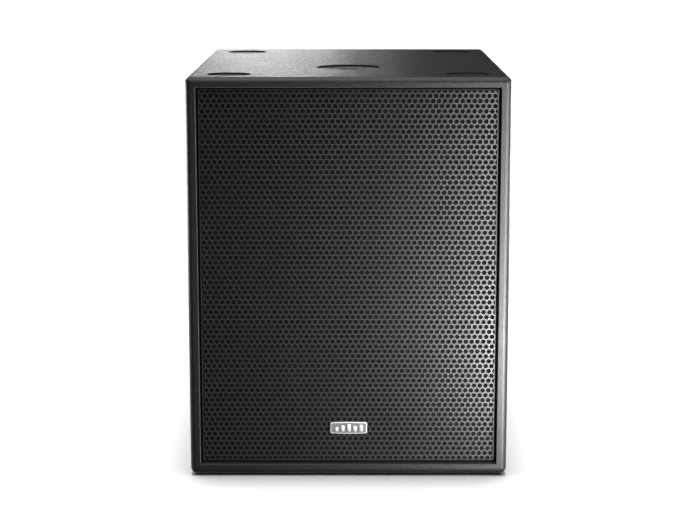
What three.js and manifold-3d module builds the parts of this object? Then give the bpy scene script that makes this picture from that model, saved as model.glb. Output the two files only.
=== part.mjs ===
// Powered bass-reflex subwoofer cabinet with one 18-inch woofer, at full size.
// Millimetres, +Z up. The grille side faces -Y, X is the width, and the feet stand on z = 0.
import * as THREE from "three";
import { RoundedBoxGeometry } from "three/addons/geometries/RoundedBoxGeometry.js";
import { mergeVertices } from "three/addons/utils/BufferGeometryUtils.js";
import Module from "manifold-3d";

// Cabinet body, its plywood and its feet
const WIDTH = 550;
const DEPTH = 700;
const HEIGHT = 690;
const FOOT = 4; // how far the feet stand below the body
const PLY = 18;
const EDGE_R = 10;
const GAP = 0.3; // clearance between pieces that touch

const BACK = DEPTH / 2;
const TOP = FOOT + HEIGHT;
const IN_X = WIDTH / 2 - PLY; // inner faces of the side panels
const IN_Z0 = FOOT + PLY; // upper face of the bottom panel
const IN_Z1 = TOP - PLY; // lower face of the top panel

// Stacking recesses in the top, and the feet under them
const STACK_X = 204;
const STACK_Y = [-287, 262];
const STACK_R = 37.5;
const STACK_DEEP = 3;
const FOOT_R = 34;

// Pole plate in the top
const POLE_Y = -130;
const POLE_R = 57; // recess radius
const POLE_SUNK = 3; // plate face below the top face
const POLE_BORE = 18; // socket radius, for a 35 mm pole
const POLE_LONG = 86;

// Grille and its foam
const GRILLE_Y = -338;
const GRILLE_GAP = 3;
const SHEET = 1.5;
const FLANGE = 15;
const FOAM = 8;

// Baffle, slot port and brace
const BAFFLE_Y = -285;
const SHELF_Z = 120; // upper face of the port shelf
const PORT_END = 80;
const BRACE_Y = 120;

// Woofer
const WOOFER_Z = 398;
const CUTOUT_R = 212;
const FLANGE_R = 230; // outer radius of the basket
const BOLT_CIRCLE_R = 219;
const BOLTS = 8;

// Side handles
const HANDLE_Y = -40;
const HANDLE_Z = 400;
const CUP = { y: 200, z: 100, deep: 55, wall: 3 };

// Amplifier module
const AMP_Z = 330;
const AMP_W = 280;
const AMP_H = 380;
const PLATE_Y = BACK - PLY; // inner face of the amplifier plate
const FACE = PLATE_Y + 3; // outer face of the amplifier plate
const INPUTS = [96, 12]; // x of the two balanced inputs
const LINKS = [60, -24]; // x of the two balanced links
const SOCKET_Z = 245;
const KNOBS = { level_knob: 88, crossover_knob: 36 };
const KNOB_Z = 310;
const BUTTON_X = -10;
const LAMP_X = -78;
const SWITCH = { x: 66, z: 180 };
const INLET = { x: -50, z: 180 };
const CABLE_HOLE = { x: 60, z: 420 };

const wasm = await Module();
wasm.setup();

const finish = (color, roughness, metalness = 0) =>
  new THREE.MeshStandardMaterial({ color, roughness, metalness });
const MATERIALS = {
  paint: finish(0x1b1c1b, 0.55),
  plywood: finish(0xb98e5c, 0.75),
  black_steel: finish(0x161616, 0.45, 0.6),
  foam: finish(0x2c2c2c, 0.9),
  silver: finish(0xb9bcbd, 0.35, 0.9),
  cast: finish(0x3a3c3e, 0.6, 0.3),
  zinc: finish(0x9da0a2, 0.4, 0.9),
  ferrite: finish(0x2a2a2c, 0.7),
  paper: finish(0x1d1d1f, 0.8),
  cloth: finish(0x9a7a45, 0.85),
  copper: finish(0x9c5a2c, 0.4, 0.8),
  rubber: finish(0x121212, 0.85),
  plastic: finish(0x18191a, 0.5),
  board: finish(0x1f5a35, 0.5),
  lamp: finish(0x2a6b34, 0.2),
  wadding: finish(0xd8d6cf, 0.95),
};

const group = new THREE.Group();
group.name = "subwoofer_cabinet";

// A closed manifold solid from a three.js geometry, with its faces turned outward.
function solid(geometry) {
  const bare = geometry.index ? geometry.toNonIndexed() : geometry.clone();
  bare.deleteAttribute("normal");
  bare.deleteAttribute("uv");
  const merged = mergeVertices(bare, 1e-3);
  const index = merged.index.array;
  const corners = [];
  for (let i = 0; i < index.length; i += 3) {
    const [a, b, c] = [index[i], index[i + 1], index[i + 2]];
    if (a !== b && b !== c && c !== a) corners.push(a, b, c);
  }
  const build = (list) =>
    new wasm.Manifold(
      new wasm.Mesh({
        numProp: 3,
        vertProperties: merged.attributes.position.array,
        triVerts: new Uint32Array(list),
      }),
    );
  const made = build(corners);
  return made.volume() > 0 ? made : build(corners.reverse());
}

// Adds a solid to the group as a named mesh.
function add(name, made, material) {
  const { numProp, vertProperties, triVerts } = made.getMesh();
  const points = [];
  for (const v of triVerts) {
    const at = v * numProp;
    points.push(vertProperties[at], vertProperties[at + 1], vertProperties[at + 2]);
  }
  const geometry = new THREE.BufferGeometry();
  geometry.setAttribute("position", new THREE.Float32BufferAttribute(points, 3));
  geometry.computeVertexNormals();
  const mesh = new THREE.Mesh(geometry, MATERIALS[material]);
  mesh.name = name;
  group.add(mesh);
}

const join = (first, ...rest) => rest.reduce((all, next) => all.add(next), first);
const cut = (first, ...rest) => rest.reduce((all, next) => all.subtract(next), first);

function box(x0, x1, y0, y1, z0, z1) {
  const geometry = new THREE.BoxGeometry(Math.abs(x1 - x0), y1 - y0, z1 - z0);
  return solid(geometry.translate((x0 + x1) / 2, (y0 + y1) / 2, (z0 + z1) / 2));
}

// A rounded rectangle, centred on (u, v).
function roundRect(u, v, wide, high, r) {
  const [a, b] = [wide / 2, high / 2];
  const shape = new THREE.Shape();
  shape.absarc(u + a - r, v + b - r, r, 0, Math.PI / 2);
  shape.absarc(u - a + r, v + b - r, r, Math.PI / 2, Math.PI);
  shape.absarc(u - a + r, v - b + r, r, Math.PI, Math.PI * 1.5);
  shape.absarc(u + a - r, v - b + r, r, Math.PI * 1.5, Math.PI * 2);
  shape.closePath();
  return shape;
}

const polygon = (points) =>
  new THREE.Shape(points.map(([u, v]) => new THREE.Vector2(u, v)));

const pushed = (shape, depth, curveSegments) =>
  new THREE.ExtrudeGeometry(shape, { depth, bevelEnabled: false, curveSegments });

// A shape drawn in Y and Z, pushed along X.
function slabX(shape, x0, x1, curve = 2) {
  const turn = new THREE.Matrix4().makeBasis(
    new THREE.Vector3(0, 1, 0),
    new THREE.Vector3(0, 0, 1),
    new THREE.Vector3(1, 0, 0),
  );
  const geometry = pushed(shape, Math.abs(x1 - x0), curve).applyMatrix4(turn);
  return solid(geometry.translate(Math.min(x0, x1), 0, 0));
}

// A shape drawn in X and Z, pushed along Y.
function slabY(shape, y0, y1, curve = 2) {
  return solid(pushed(shape, y1 - y0, curve).rotateX(Math.PI / 2).translate(0, y1, 0));
}

// A shape drawn in X and Y, pushed along Z.
function slabZ(shape, z0, z1, curve = 2) {
  return solid(pushed(shape, z1 - z0, curve).translate(0, 0, z0));
}

function rodY(x, z, r, y0, y1, sides = 18) {
  const geometry = new THREE.CylinderGeometry(r, r, y1 - y0, sides);
  return solid(geometry.translate(x, (y0 + y1) / 2, z));
}

function rodZ(x, y, r, z0, z1, sides = 28) {
  const geometry = new THREE.CylinderGeometry(r, r, z1 - z0, sides).rotateX(Math.PI / 2);
  return solid(geometry.translate(x, y, (z0 + z1) / 2));
}

const profile = (points) => points.map(([r, h]) => new THREE.Vector2(r, h));

// A profile of [radius, y] turned about a line along Y.
function latheY(points, x, z, sides = 32) {
  return solid(new THREE.LatheGeometry(profile(points), sides).translate(x, 0, z));
}

// A profile of [radius, z] turned about a line along Z.
function latheZ(points, x, y, sides = 28) {
  const geometry = new THREE.LatheGeometry(profile(points), sides);
  return solid(geometry.rotateX(Math.PI / 2).translate(x, y, 0));
}

// A ring's profile is closed by coming back to its first point.
const ring = (points, x, z, sides) => latheY([...points, points[0]], x, z, sides);

const stackPlaces = [-STACK_X, STACK_X].flatMap((x) => STACK_Y.map((y) => [x, y]));

// The five painted outer panels, all cut from one body with rounded edges.
function outerPanels() {
  const body = solid(
    new RoundedBoxGeometry(WIDTH, DEPTH, HEIGHT, 2, EDGE_R).translate(0, 0, FOOT + HEIGHT / 2),
  );
  const [x, y] = [WIDTH, DEPTH];
  const recesses = stackPlaces.map(([u, v]) => rodZ(u, v, STACK_R, TOP - STACK_DEEP, TOP + 1, 24));
  const plateSeat = rodZ(0, POLE_Y, POLE_R, TOP - POLE_SUNK - 3, TOP + 1);
  const tubeHole = rodZ(0, POLE_Y, POLE_BORE + 5, IN_Z1 - 1, TOP);
  const top = body.intersect(box(-x, x, -y, y, IN_Z1, TOP + 1));
  add("top_panel", cut(top, ...recesses, plateSeat, tubeHole), "paint");
  add("bottom_panel", body.intersect(box(-x, x, -y, y, 0, IN_Z0)), "paint");
  for (const [name, side] of [["left", -1], ["right", 1]]) {
    const inner = side * IN_X;
    const slab = box(inner, side * WIDTH, -y, y, IN_Z0 + GAP, IN_Z1 - GAP);
    const seat = roundRect(HANDLE_Y, HANDLE_Z, CUP.y + 41, CUP.z + 41, 16.5);
    const hole = roundRect(HANDLE_Y, HANDLE_Z, CUP.y + 8, CUP.z + 8, 21);
    add(
      `${name}_side_panel`,
      cut(
        body.intersect(slab),
        slabX(seat, side * (WIDTH / 2 - 3.3), side * WIDTH),
        slabX(hole, inner - side, side * WIDTH),
      ),
      "paint",
    );
  }
  const rear = box(-IN_X + GAP, IN_X - GAP, PLATE_Y, BACK, IN_Z0 + GAP, IN_Z1 - GAP);
  const opening = roundRect(0, AMP_Z, AMP_W + 4, AMP_H + 4, 6);
  add("rear_panel", cut(rear, slabY(opening, PLATE_Y - 1, BACK + 1)), "paint");
}

// A point on the bolt circle, for bolt number i.
function boltPlace(i) {
  const angle = ((i + 0.5) * 2 * Math.PI) / BOLTS;
  return [BOLT_CIRCLE_R * Math.cos(angle), WOOFER_Z + BOLT_CIRCLE_R * Math.sin(angle)];
}

const boltPlaces = Array.from({ length: BOLTS }, (_, i) => boltPlace(i));

// The woodwork inside: baffle, slot port, brace, grille cleats and amplifier frame.
function innerWoodwork() {
  const wide = IN_X - GAP;
  const baffle = box(-wide, wide, BAFFLE_Y, BAFFLE_Y + PLY, SHELF_Z + GAP, IN_Z1 - GAP);
  const hole = rodY(0, WOOFER_Z, CUTOUT_R, BAFFLE_Y - 1, BAFFLE_Y + PLY + 1, 32);
  const boltHoles = boltPlaces.map(([x, z]) =>
    rodY(x, z, 3.6, BAFFLE_Y - 1, BAFFLE_Y + PLY + 1, 8),
  );
  add("front_baffle", cut(baffle, hole, ...boltHoles), "paint");
  const shelf = box(-wide, wide, BAFFLE_Y, PORT_END, SHELF_Z - PLY, SHELF_Z);
  add("port_shelf", shelf, "paint");
  const divider = box(-PLY / 2, PLY / 2, BAFFLE_Y, PORT_END, IN_Z0 + GAP, SHELF_Z - PLY - GAP);
  add("port_divider", divider, "paint");
  const brace = box(-wide, wide, BRACE_Y, BRACE_Y + PLY, IN_Z0 + GAP, IN_Z1 - GAP);
  const windows = [188, 507].map((z) =>
    slabY(roundRect(0, z, 430, 286, 30), BRACE_Y - 1, BRACE_Y + PLY + 1),
  );
  add("window_brace", cut(brace, ...windows), "plywood");
  for (const [name, side] of [["left", -1], ["right", 1]]) {
    const cleat = box(
      side * (IN_X - 14),
      side * wide,
      GRILLE_Y + FLANGE + GAP,
      BAFFLE_Y - GAP,
      SHELF_Z + GAP,
      IN_Z1 - GAP,
    );
    add(`grille_cleat_${name}`, cleat, "paint");
  }
  const outline = box(-165, 165, PLATE_Y - PLY, PLATE_Y - GAP, AMP_Z - 215, AMP_Z + 215);
  const opening = roundRect(0, AMP_Z, 250, 350, 8);
  const frame = cut(outline, slabY(opening, PLATE_Y - PLY - 1, PLATE_Y));
  add("amp_mounting_frame", frame, "plywood");
}

// Folded steel grille, the foam behind it and the badge on it.
function grilleAndBadge() {
  const middle = FOOT + HEIGHT / 2;
  const [wide, high] = [2 * (IN_X - GRILLE_GAP), HEIGHT - 2 * (PLY + GRILLE_GAP)];
  const pan = slabY(roundRect(0, middle, wide, high, 3), GRILLE_Y, GRILLE_Y + FLANGE);
  const inside = roundRect(0, middle, wide - 2 * SHEET, high - 2 * SHEET, 2);
  add("grille", cut(pan, slabY(inside, GRILLE_Y + SHEET, GRILLE_Y + FLANGE + 1)), "black_steel");
  const pad = roundRect(0, middle, wide - 4, high - 4, 2);
  const padFront = GRILLE_Y + SHEET + GAP;
  add("grille_foam", slabY(pad, padFront, padFront + FOAM), "foam");
  const z = FOOT + 80;
  const [a, b, y] = [32, 10.75, GRILLE_Y - GAP];
  const outline = new THREE.Shape();
  outline.moveTo(-a + 2.5, -b + 0.6);
  outline.quadraticCurveTo(0, -b - 0.6, a - 2.5, -b + 0.6);
  outline.quadraticCurveTo(a, -b + 0.6, a, -b + 3);
  outline.lineTo(a, b - 3);
  outline.quadraticCurveTo(a, b - 0.6, a - 2.5, b - 0.6);
  outline.quadraticCurveTo(0, b + 0.6, -a + 2.5, b - 0.6);
  outline.quadraticCurveTo(-a, b - 0.6, -a, b - 3);
  outline.lineTo(-a, -b + 3);
  outline.quadraticCurveTo(-a, -b + 0.6, -a + 2.5, -b + 0.6);
  const plate = slabY(outline, y - 2.4, y).translate([0, 0, z]);
  const field = slabY(roundRect(0, z, 58, 15.5, 1.5), y - 3, y - 1.6);
  const bars = [4, 7, 10, 6, 11, 8, 5].map((high, i) => {
    const x = (i - 3) * 7;
    return box(x - 1.8, x + 1.8, y - 2.3, y - 1, z - 5.5, z - 5.5 + high);
  });
  add("badge", join(cut(plate, field), ...bars), "silver");
}

// The woofer's still parts, from the front flange back to the magnet.
function wooferFrame() {
  const basket = ring(
    [
      [FLANGE_R, -293], [FLANGE_R, -285.3], [208, -285.3], [137, -201], [104, -195], [104, -169],
      [62, -169], [62, -174], [98, -174], [98, -200], [114, -200], [133, -204], [203, -289],
      [203, -293],
    ],
    0, WOOFER_Z,
  );
  const windows = boltPlaces.map((_, i) => {
    const shape = new THREE.Shape();
    const [start, end] = [i * 45 + 6, i * 45 + 39].map(THREE.MathUtils.degToRad);
    shape.absarc(0, 0, 194, start, end, false);
    shape.absarc(0, 0, 146, end, start, true);
    shape.closePath();
    return slabY(shape, -292, -190, 1).translate([0, 0, WOOFER_Z]);
  });
  const holes = boltPlaces.map(([x, z]) => rodY(x, z, 3.6, -294, -285, 8));
  add("woofer_basket", cut(basket, ...windows, ...holes), "cast");
  const gasket = [[205, -298.3], [212.5, -298.3], [212.5, -295.1], [205, -295.1]];
  add("woofer_gasket", ring(gasket, 0, WOOFER_Z), "rubber");
  const topPlate = [[53.2, -168.7], [100, -168.7], [100, -157.7], [53.2, -157.7]];
  add("woofer_top_plate", ring(topPlate, 0, WOOFER_Z), "zinc");
  const magnet = [
    [60, -157.4], [108.5, -157.4], [110, -155.9], [110, -134.4], [60, -134.4],
  ];
  add("woofer_magnet", ring(magnet, 0, WOOFER_Z), "ferrite");
  const backPlate = [
    [15, -168], [48.8, -168], [48.8, -134.1], [100, -134.1], [100, -121], [98, -119], [15, -119],
  ];
  add("woofer_back_plate", ring(backPlate, 0, WOOFER_Z), "zinc");
  boltPlaces.forEach(([x, z], i) => {
    const bolt = latheY(
      [[0, -299.2], [5, -299.2], [5.5, -298.7], [5.5, -293.3], [3, -293.3], [3, -260], [0, -260]],
      x, z, 12,
    );
    add(`woofer_bolt_${i + 1}`, cut(bolt, rodY(x, z, 2.9, -300, -296, 6)), "zinc");
  });
  const block = cut(
    box(104.6, 118, -193, -172, WOOFER_Z - 14, WOOFER_Z + 14),
    box(114, 119, -190, -175, WOOFER_Z - 0.8, WOOFER_Z + 0.8),
  );
  add("woofer_terminals", block, "plastic");
}

// The woofer's moving parts and the two soft rings that carry them.
function wooferMoving() {
  const surround = [
    [179, -293.9], [187, -293.9], [191, -299.5], [195, -295.6], [199.5, -299.5], [204, -294.8],
    [212, -294.8], [212, -293.4], [203, -293.4], [199.5, -297.8], [195, -293.9], [191, -297.8],
    [187.7, -292.4], [179, -292.4],
  ];
  add("woofer_surround", ring(surround, 0, WOOFER_Z), "cloth");
  const cone = [
    [51.5, -231], [90, -252.5], [135, -273], [178, -291], [186, -292], [186, -290.2],
    [178, -289], [135, -271], [90, -250.5], [53.4, -229], [53.4, -221], [51.5, -221],
  ];
  add("woofer_cone", ring(cone, 0, WOOFER_Z), "paper");
  const cap = [
    [0, -263], [30, -260.5], [54, -254.5], [72, -246.5], [72, -244.7], [54, -253],
    [30, -259], [0, -261.5],
  ];
  add("woofer_dust_cap", latheY(cap, 0, WOOFER_Z), "paper");
  const coil = [
    [50.2, -243], [51.2, -243], [51.2, -177], [52.2, -177], [52.2, -149], [50.2, -149],
  ];
  add("woofer_voice_coil", ring(coil, 0, WOOFER_Z), "copper");
  const waves = [
    [51.5, -201.9], [57, -201.9], [63, -205], [71, -199.6], [79, -205], [87, -199.6],
    [95, -201.9], [111, -201.9],
  ];
  const spider = [...waves, ...waves.toReversed().map(([r, y]) => [r, y + 1.5])];
  add("woofer_spider", ring(spider, 0, WOOFER_Z), "cloth");
}

// The pole plate with its socket tube, and the four feet.
function poleAndFeet() {
  const face = TOP - POLE_SUNK;
  const tube = POLE_BORE + 4;
  const socket = latheZ(
    [
      [0, face - POLE_LONG - 3], [tube, face - POLE_LONG - 3], [tube, face - 2.7],
      [POLE_R - 1, face - 2.7], [POLE_R - 1, face - 0.5], [POLE_R - 1.5, face],
      [POLE_BORE + 1, face], [POLE_BORE, face - 1], [POLE_BORE, face - POLE_LONG],
      [0, face - POLE_LONG],
    ],
    0, POLE_Y,
  );
  const holes = [45, 135, 225, 315].map((degrees) => {
    const angle = THREE.MathUtils.degToRad(degrees);
    const [x, y] = [40 * Math.cos(angle), POLE_Y + 40 * Math.sin(angle)];
    return rodZ(x, y, 2.6, face - 4, face + 1, 8);
  });
  add("pole_plate", cut(socket, ...holes), "black_steel");
  const foot = [
    [0, 2], [7, 2], [7, 0], [FOOT_R - 2, 0], [FOOT_R - 0.6, 0.6], [FOOT_R, FOOT - GAP],
    [0, FOOT - GAP],
  ];
  stackPlaces.forEach(([x, y], i) => add(`foot_${i + 1}`, latheZ(foot, x, y, 20), "rubber"));
}

// A moulded side handle: flange, cup and grip bar in one piece.
function handle(name, side) {
  const skin = WIDTH / 2;
  const floor = skin - CUP.deep;
  const flange = roundRect(HANDLE_Y, HANDLE_Z, CUP.y + 40, CUP.z + 40, 16);
  const outer = roundRect(HANDLE_Y, HANDLE_Z, CUP.y + 2 * CUP.wall, CUP.z + 2 * CUP.wall, 20);
  const inner = roundRect(HANDLE_Y, HANDLE_Z, CUP.y, CUP.z, 17);
  const shell = join(
    slabX(flange, side * (skin - 3), side * (skin - GAP)),
    slabX(outer, side * (floor - CUP.wall), side * (skin - 1)),
  );
  const bar = roundRect(side * (skin - 13), HANDLE_Z + 12, 24, 26, 8);
  const grip = slabY(bar, HANDLE_Y - CUP.y / 2 - 1, HANDLE_Y + CUP.y / 2 + 1);
  add(name, join(cut(shell, slabX(inner, side * floor, side * (skin + 1))), grip), "plastic");
}

// The amplifier's face plate, heat sink, chassis and board.
function amplifierBody() {
  const plate = slabY(roundRect(0, AMP_Z, AMP_W, AMP_H, 4), PLATE_Y, FACE);
  const through = [PLATE_Y - 1, FACE + 1];
  const holes = [
    ...[...INPUTS, ...LINKS].map((x) => rodY(x, SOCKET_Z, 12.1, ...through)),
    ...Object.values(KNOBS).map((x) => rodY(x, KNOB_Z, 3.6, ...through, 12)),
    rodY(BUTTON_X, KNOB_Z, 5, ...through, 16),
    slabY(roundRect(LAMP_X, KNOB_Z, 40.6, 6.6, 2.3), ...through),
    slabY(roundRect(SWITCH.x, SWITCH.z, 17, 28, 1), ...through),
    slabY(roundRect(INLET.x, INLET.z, 28.2, 21, 2), ...through),
  ];
  add("amp_panel", cut(plate, ...holes), "paint");
  const fins = [];
  const [base, tip] = [FACE + GAP, FACE + 14];
  for (let x = -105; x <= 105; x += 10) {
    fins.push([x - 1, base + 3], [x - 1, tip], [x + 1, tip], [x + 1, base + 3]);
  }
  const comb = polygon([[-106, base], ...fins, [106, base]]);
  add("heat_sink", slabZ(comb, AMP_Z + 20, AMP_Z + 178), "black_steel");
  const [a, b, front] = [118, 166, PLATE_Y - 96];
  const tray = cut(
    box(-a, a, front, PLATE_Y - GAP, AMP_Z - b, AMP_Z + b),
    box(-a + 1.5, a - 1.5, front + 1.5, PLATE_Y, AMP_Z - b + 1.5, AMP_Z + b - 1.5),
    rodY(CABLE_HOLE.x, CABLE_HOLE.z, 5, front - 1, front + 3, 16),
  );
  add("amp_chassis", tray, "zinc");
  const y = PLATE_Y - 36;
  const posts = [[-95, 185], [95, 185], [-95, 475], [95, 475]].map(([x, z]) =>
    rodY(x, z, 4, y, PLATE_Y - GAP, 6),
  );
  const cans = [[-70, 440], [-40, 440], [-70, 405], [-40, 405]].map(([x, z]) =>
    rodY(x, z, 13, y - 40, y + 1, 12),
  );
  const chokes = [[70, 350], [-60, 330]].map(([x, z]) =>
    ring([[8, y - 18], [20, y - 18], [20, y + 1], [8, y + 1]], x, z, 12),
  );
  const bridge = box(0, 50, y - 30, y + 1, 230, 290);
  const card = box(-105, 105, y, y + 1.6, 175, 485);
  add("amp_board", join(card, ...posts, ...cans, ...chokes, bridge), "board");
}

// A balanced input: panel flange, barrel, plug groove, contact holes and latch slot.
function inputSocket(name, x) {
  const shell = join(
    slabY(roundRect(x, SOCKET_Z, 26, 31, 3), FACE + GAP, FACE + 2.3, 1),
    rodY(x, SOCKET_Z, 11.6, PLATE_Y - 20, FACE + 1),
  );
  const groove = cut(
    rodY(x, SOCKET_Z, 9.8, FACE - 13, FACE + 3),
    rodY(x, SOCKET_Z, 7.8, FACE - 14, FACE + 4),
  );
  const contacts = [[-3.5, 0], [3.5, 0], [0, -4]].map(([u, v]) =>
    rodY(x + u, SOCKET_Z + v, 1.3, FACE - 10, FACE + 3, 6),
  );
  const slot = box(x - 3.2, x + 3.2, FACE + GAP - 1, FACE + 3, SOCKET_Z + 11.2, SOCKET_Z + 14.4);
  add(name, cut(shell, groove, ...contacts, slot), "zinc");
}

// The push tab that lets the plug go, in its slot above the socket.
function latchTab(name, x) {
  const tab = roundRect(x, SOCKET_Z + 12.8, 5.8, 2.6, 0.6);
  add(name, slabY(tab, FACE + 1.8, FACE + 4.8, 1), "zinc");
}

// A balanced link: the same flange with three pins in an open barrel.
function linkSocket(name, x) {
  const shell = join(
    slabY(roundRect(x, SOCKET_Z, 26, 31, 3), FACE + GAP, FACE + 2.3, 1),
    rodY(x, SOCKET_Z, 11.6, PLATE_Y - 20, FACE + 1),
  );
  const barrel = rodY(x, SOCKET_Z, 9.4, FACE - 16, FACE + 3);
  const pins = [[-4, 0], [4, 0], [0, -4.6]].map(([u, v]) =>
    rodY(x + u, SOCKET_Z + v, 1.2, FACE - 17, FACE - 2, 6),
  );
  add(name, join(cut(shell, barrel), ...pins), "zinc");
}

// A control knob with its shaft and a pointer groove.
function knob(name, x) {
  const turned = latheY(
    [
      [0, FACE - 12], [3, FACE - 12], [3, FACE + 0.6], [10.5, FACE + 0.6], [10.5, FACE + 2.2],
      [8.6, FACE + 3], [8.2, FACE + 12.4], [7.4, FACE + 13.2], [0, FACE + 13.2],
    ],
    x, KNOB_Z, 18,
  );
  const pointer = box(x - 0.6, x + 0.6, FACE + 12.4, FACE + 14, KNOB_Z + 2, KNOB_Z + 9);
  add(name, cut(turned, pointer), "plastic");
}

// Mains switch, mains inlet, push button and lamp strip.
function mainsAndButtons() {
  const { x, z } = SWITCH;
  const bezel = join(
    slabY(roundRect(x, z, 21, 32, 2), FACE + GAP, FACE + 2.3, 1),
    box(x - 8.2, x + 8.2, PLATE_Y - 16, FACE + 1, z - 13.7, z + 13.7),
  );
  const pocket = box(x - 6.8, x + 6.8, PLATE_Y - 10, FACE + 3, z - 12.5, z + 12.5);
  add("power_switch_frame", cut(bezel, pocket), "plastic");
  const side = polygon([
    [FACE + 1.5, z], [FACE + 3.4, z + 11], [FACE + 1, z + 11.8], [FACE - 2, z + 11.8],
    [FACE - 5, z + 10.4], [FACE - 5, z - 10.4], [FACE - 2, z - 11.8], [FACE + 1, z - 11.8],
    [FACE + 3.4, z - 11],
  ]);
  add("power_rocker", slabX(side, x - 6.4, x + 6.4), "plastic");
  const { x: u, z: v } = INLET;
  const shell = join(
    slabY(roundRect(u, v, 50, 25, 5), FACE + GAP, FACE + 3, 2),
    slabY(roundRect(u, v, 27.6, 20.4, 2), PLATE_Y - 16, FACE + 1, 1),
  );
  const mouth = polygon([
    [u - 12.2, v - 8.2], [u + 12.2, v - 8.2], [u + 12.2, v + 3.5], [u + 7.5, v + 8.2],
    [u - 7.5, v + 8.2], [u - 12.2, v + 3.5],
  ]);
  const blades = [[-7, -1], [7, -1], [0, 3]].map(([p, q]) =>
    box(u + p - 1, u + p + 1, PLATE_Y - 15, FACE - 2, v + q - 2, v + q + 2),
  );
  const ears = [-20, 20].map((p) => rodY(u + p, v, 1.8, FACE, FACE + 4, 8));
  const hollow = cut(shell, slabY(mouth, PLATE_Y - 14, FACE + 4), ...ears);
  add("mains_inlet", join(hollow, ...blades), "plastic");
  const button = latheY(
    [[0, FACE - 14], [4.5, FACE - 14], [4.5, FACE + 4.4], [4, FACE + 5], [0, FACE + 5]],
    BUTTON_X, KNOB_Z, 16,
  );
  add("polarity_button", button, "plastic");
  const lens = roundRect(LAMP_X, KNOB_Z, 40, 6, 2);
  add("lamp_window", slabY(lens, FACE - 2.7, FACE + 1), "lamp");
}

// The cable from the amplifier chassis to the woofer's terminals.
function speakerCable() {
  const route = new THREE.CatmullRomCurve3(
    [
      [118.4, -182.5, WOOFER_Z], [134, -182, WOOFER_Z], [150, -150, WOOFER_Z - 4],
      [152, -40, 410], [140, 70, 436], [118, 130, 448], [80, 180, 432],
      [CABLE_HOLE.x, 215, CABLE_HOLE.z], [CABLE_HOLE.x, 252, CABLE_HOLE.z],
    ].map((p) => new THREE.Vector3(...p)),
  );
  const section = new THREE.Shape().absarc(0, 0, 3, 0, Math.PI * 2);
  const geometry = new THREE.ExtrudeGeometry(section, {
    steps: 24,
    extrudePath: route,
    bevelEnabled: false,
    curveSegments: 4,
  });
  add("speaker_cable", solid(geometry), "rubber");
}

// A soft mat under the top panel, behind the brace.
function wadding() {
  const mat = new RoundedBoxGeometry(470, 170, 30, 1, 9).translate(0, 228, IN_Z1 - 16);
  add("damping_mat", solid(mat), "wadding");
}

outerPanels();
innerWoodwork();
grilleAndBadge();
wooferFrame();
wooferMoving();
speakerCable();
wadding();
poleAndFeet();
handle("handle_left", -1);
handle("handle_right", 1);
amplifierBody();
INPUTS.forEach((x, i) => inputSocket(`input_socket_${i + 1}`, x));
INPUTS.forEach((x, i) => latchTab(`input_latch_${i + 1}`, x));
LINKS.forEach((x, i) => linkSocket(`link_socket_${i + 1}`, x));
for (const [name, x] of Object.entries(KNOBS)) knob(name, x);
mainsAndButtons();

export default group;
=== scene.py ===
# %% [markdown]
# # A stage subwoofer, one piece at a time
# The cabinet is a plywood box under tough textured paint. A folded steel grille
# covers the front, an amplifier panel closes the back, and the top has a pole
# socket and four recesses for the feet of the next cabinet.
#
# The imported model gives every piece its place. This first cell loads it, and keeps
# the box it fills, because nothing made here may grow past that box.

# %% Load the frame
from math import cos, pi, radians, sin

import bmesh
import bpy
from mathutils import Matrix, Vector, noise
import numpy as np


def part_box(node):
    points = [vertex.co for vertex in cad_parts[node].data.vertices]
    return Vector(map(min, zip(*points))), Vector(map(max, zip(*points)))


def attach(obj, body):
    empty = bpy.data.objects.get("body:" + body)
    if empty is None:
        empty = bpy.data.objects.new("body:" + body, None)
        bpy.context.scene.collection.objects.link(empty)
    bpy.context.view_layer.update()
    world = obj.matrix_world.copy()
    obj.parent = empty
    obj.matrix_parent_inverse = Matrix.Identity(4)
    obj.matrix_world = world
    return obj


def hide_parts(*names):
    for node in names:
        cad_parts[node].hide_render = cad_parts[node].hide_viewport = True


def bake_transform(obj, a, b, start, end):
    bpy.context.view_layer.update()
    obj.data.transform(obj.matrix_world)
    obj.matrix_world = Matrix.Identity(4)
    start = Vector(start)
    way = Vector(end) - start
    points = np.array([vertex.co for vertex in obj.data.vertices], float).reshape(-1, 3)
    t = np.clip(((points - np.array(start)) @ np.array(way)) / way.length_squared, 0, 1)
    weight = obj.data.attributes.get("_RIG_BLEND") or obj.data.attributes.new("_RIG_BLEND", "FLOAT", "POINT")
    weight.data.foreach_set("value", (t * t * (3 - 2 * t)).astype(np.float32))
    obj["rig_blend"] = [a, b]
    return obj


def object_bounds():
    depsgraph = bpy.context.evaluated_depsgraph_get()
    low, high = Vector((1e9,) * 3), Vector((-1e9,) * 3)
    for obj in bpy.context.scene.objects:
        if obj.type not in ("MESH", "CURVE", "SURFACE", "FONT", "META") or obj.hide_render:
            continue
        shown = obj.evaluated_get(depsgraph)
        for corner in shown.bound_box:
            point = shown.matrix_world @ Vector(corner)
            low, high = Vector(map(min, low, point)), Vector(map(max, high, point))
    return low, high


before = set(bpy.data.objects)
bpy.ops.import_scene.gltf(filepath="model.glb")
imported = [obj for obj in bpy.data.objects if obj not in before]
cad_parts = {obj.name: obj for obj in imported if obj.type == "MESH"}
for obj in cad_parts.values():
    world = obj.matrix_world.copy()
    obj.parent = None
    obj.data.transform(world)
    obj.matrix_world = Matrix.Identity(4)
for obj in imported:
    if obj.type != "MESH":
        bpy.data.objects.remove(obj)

CAD_BOX = [list(corner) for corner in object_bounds()]
MM = 0.001
print("cabinet box in metres:", CAD_BOX)

# %% [markdown]
# ## The camera
# The cabinet is seen from straight ahead and a little above its top, through a long
# lens, so the sides stay almost parallel while the top opens into a flat trapezium.
# A camera that is set with a target and Blender's own tracking would roll, so the
# rotation is written down: tipped down a little under eleven degrees.

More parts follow.
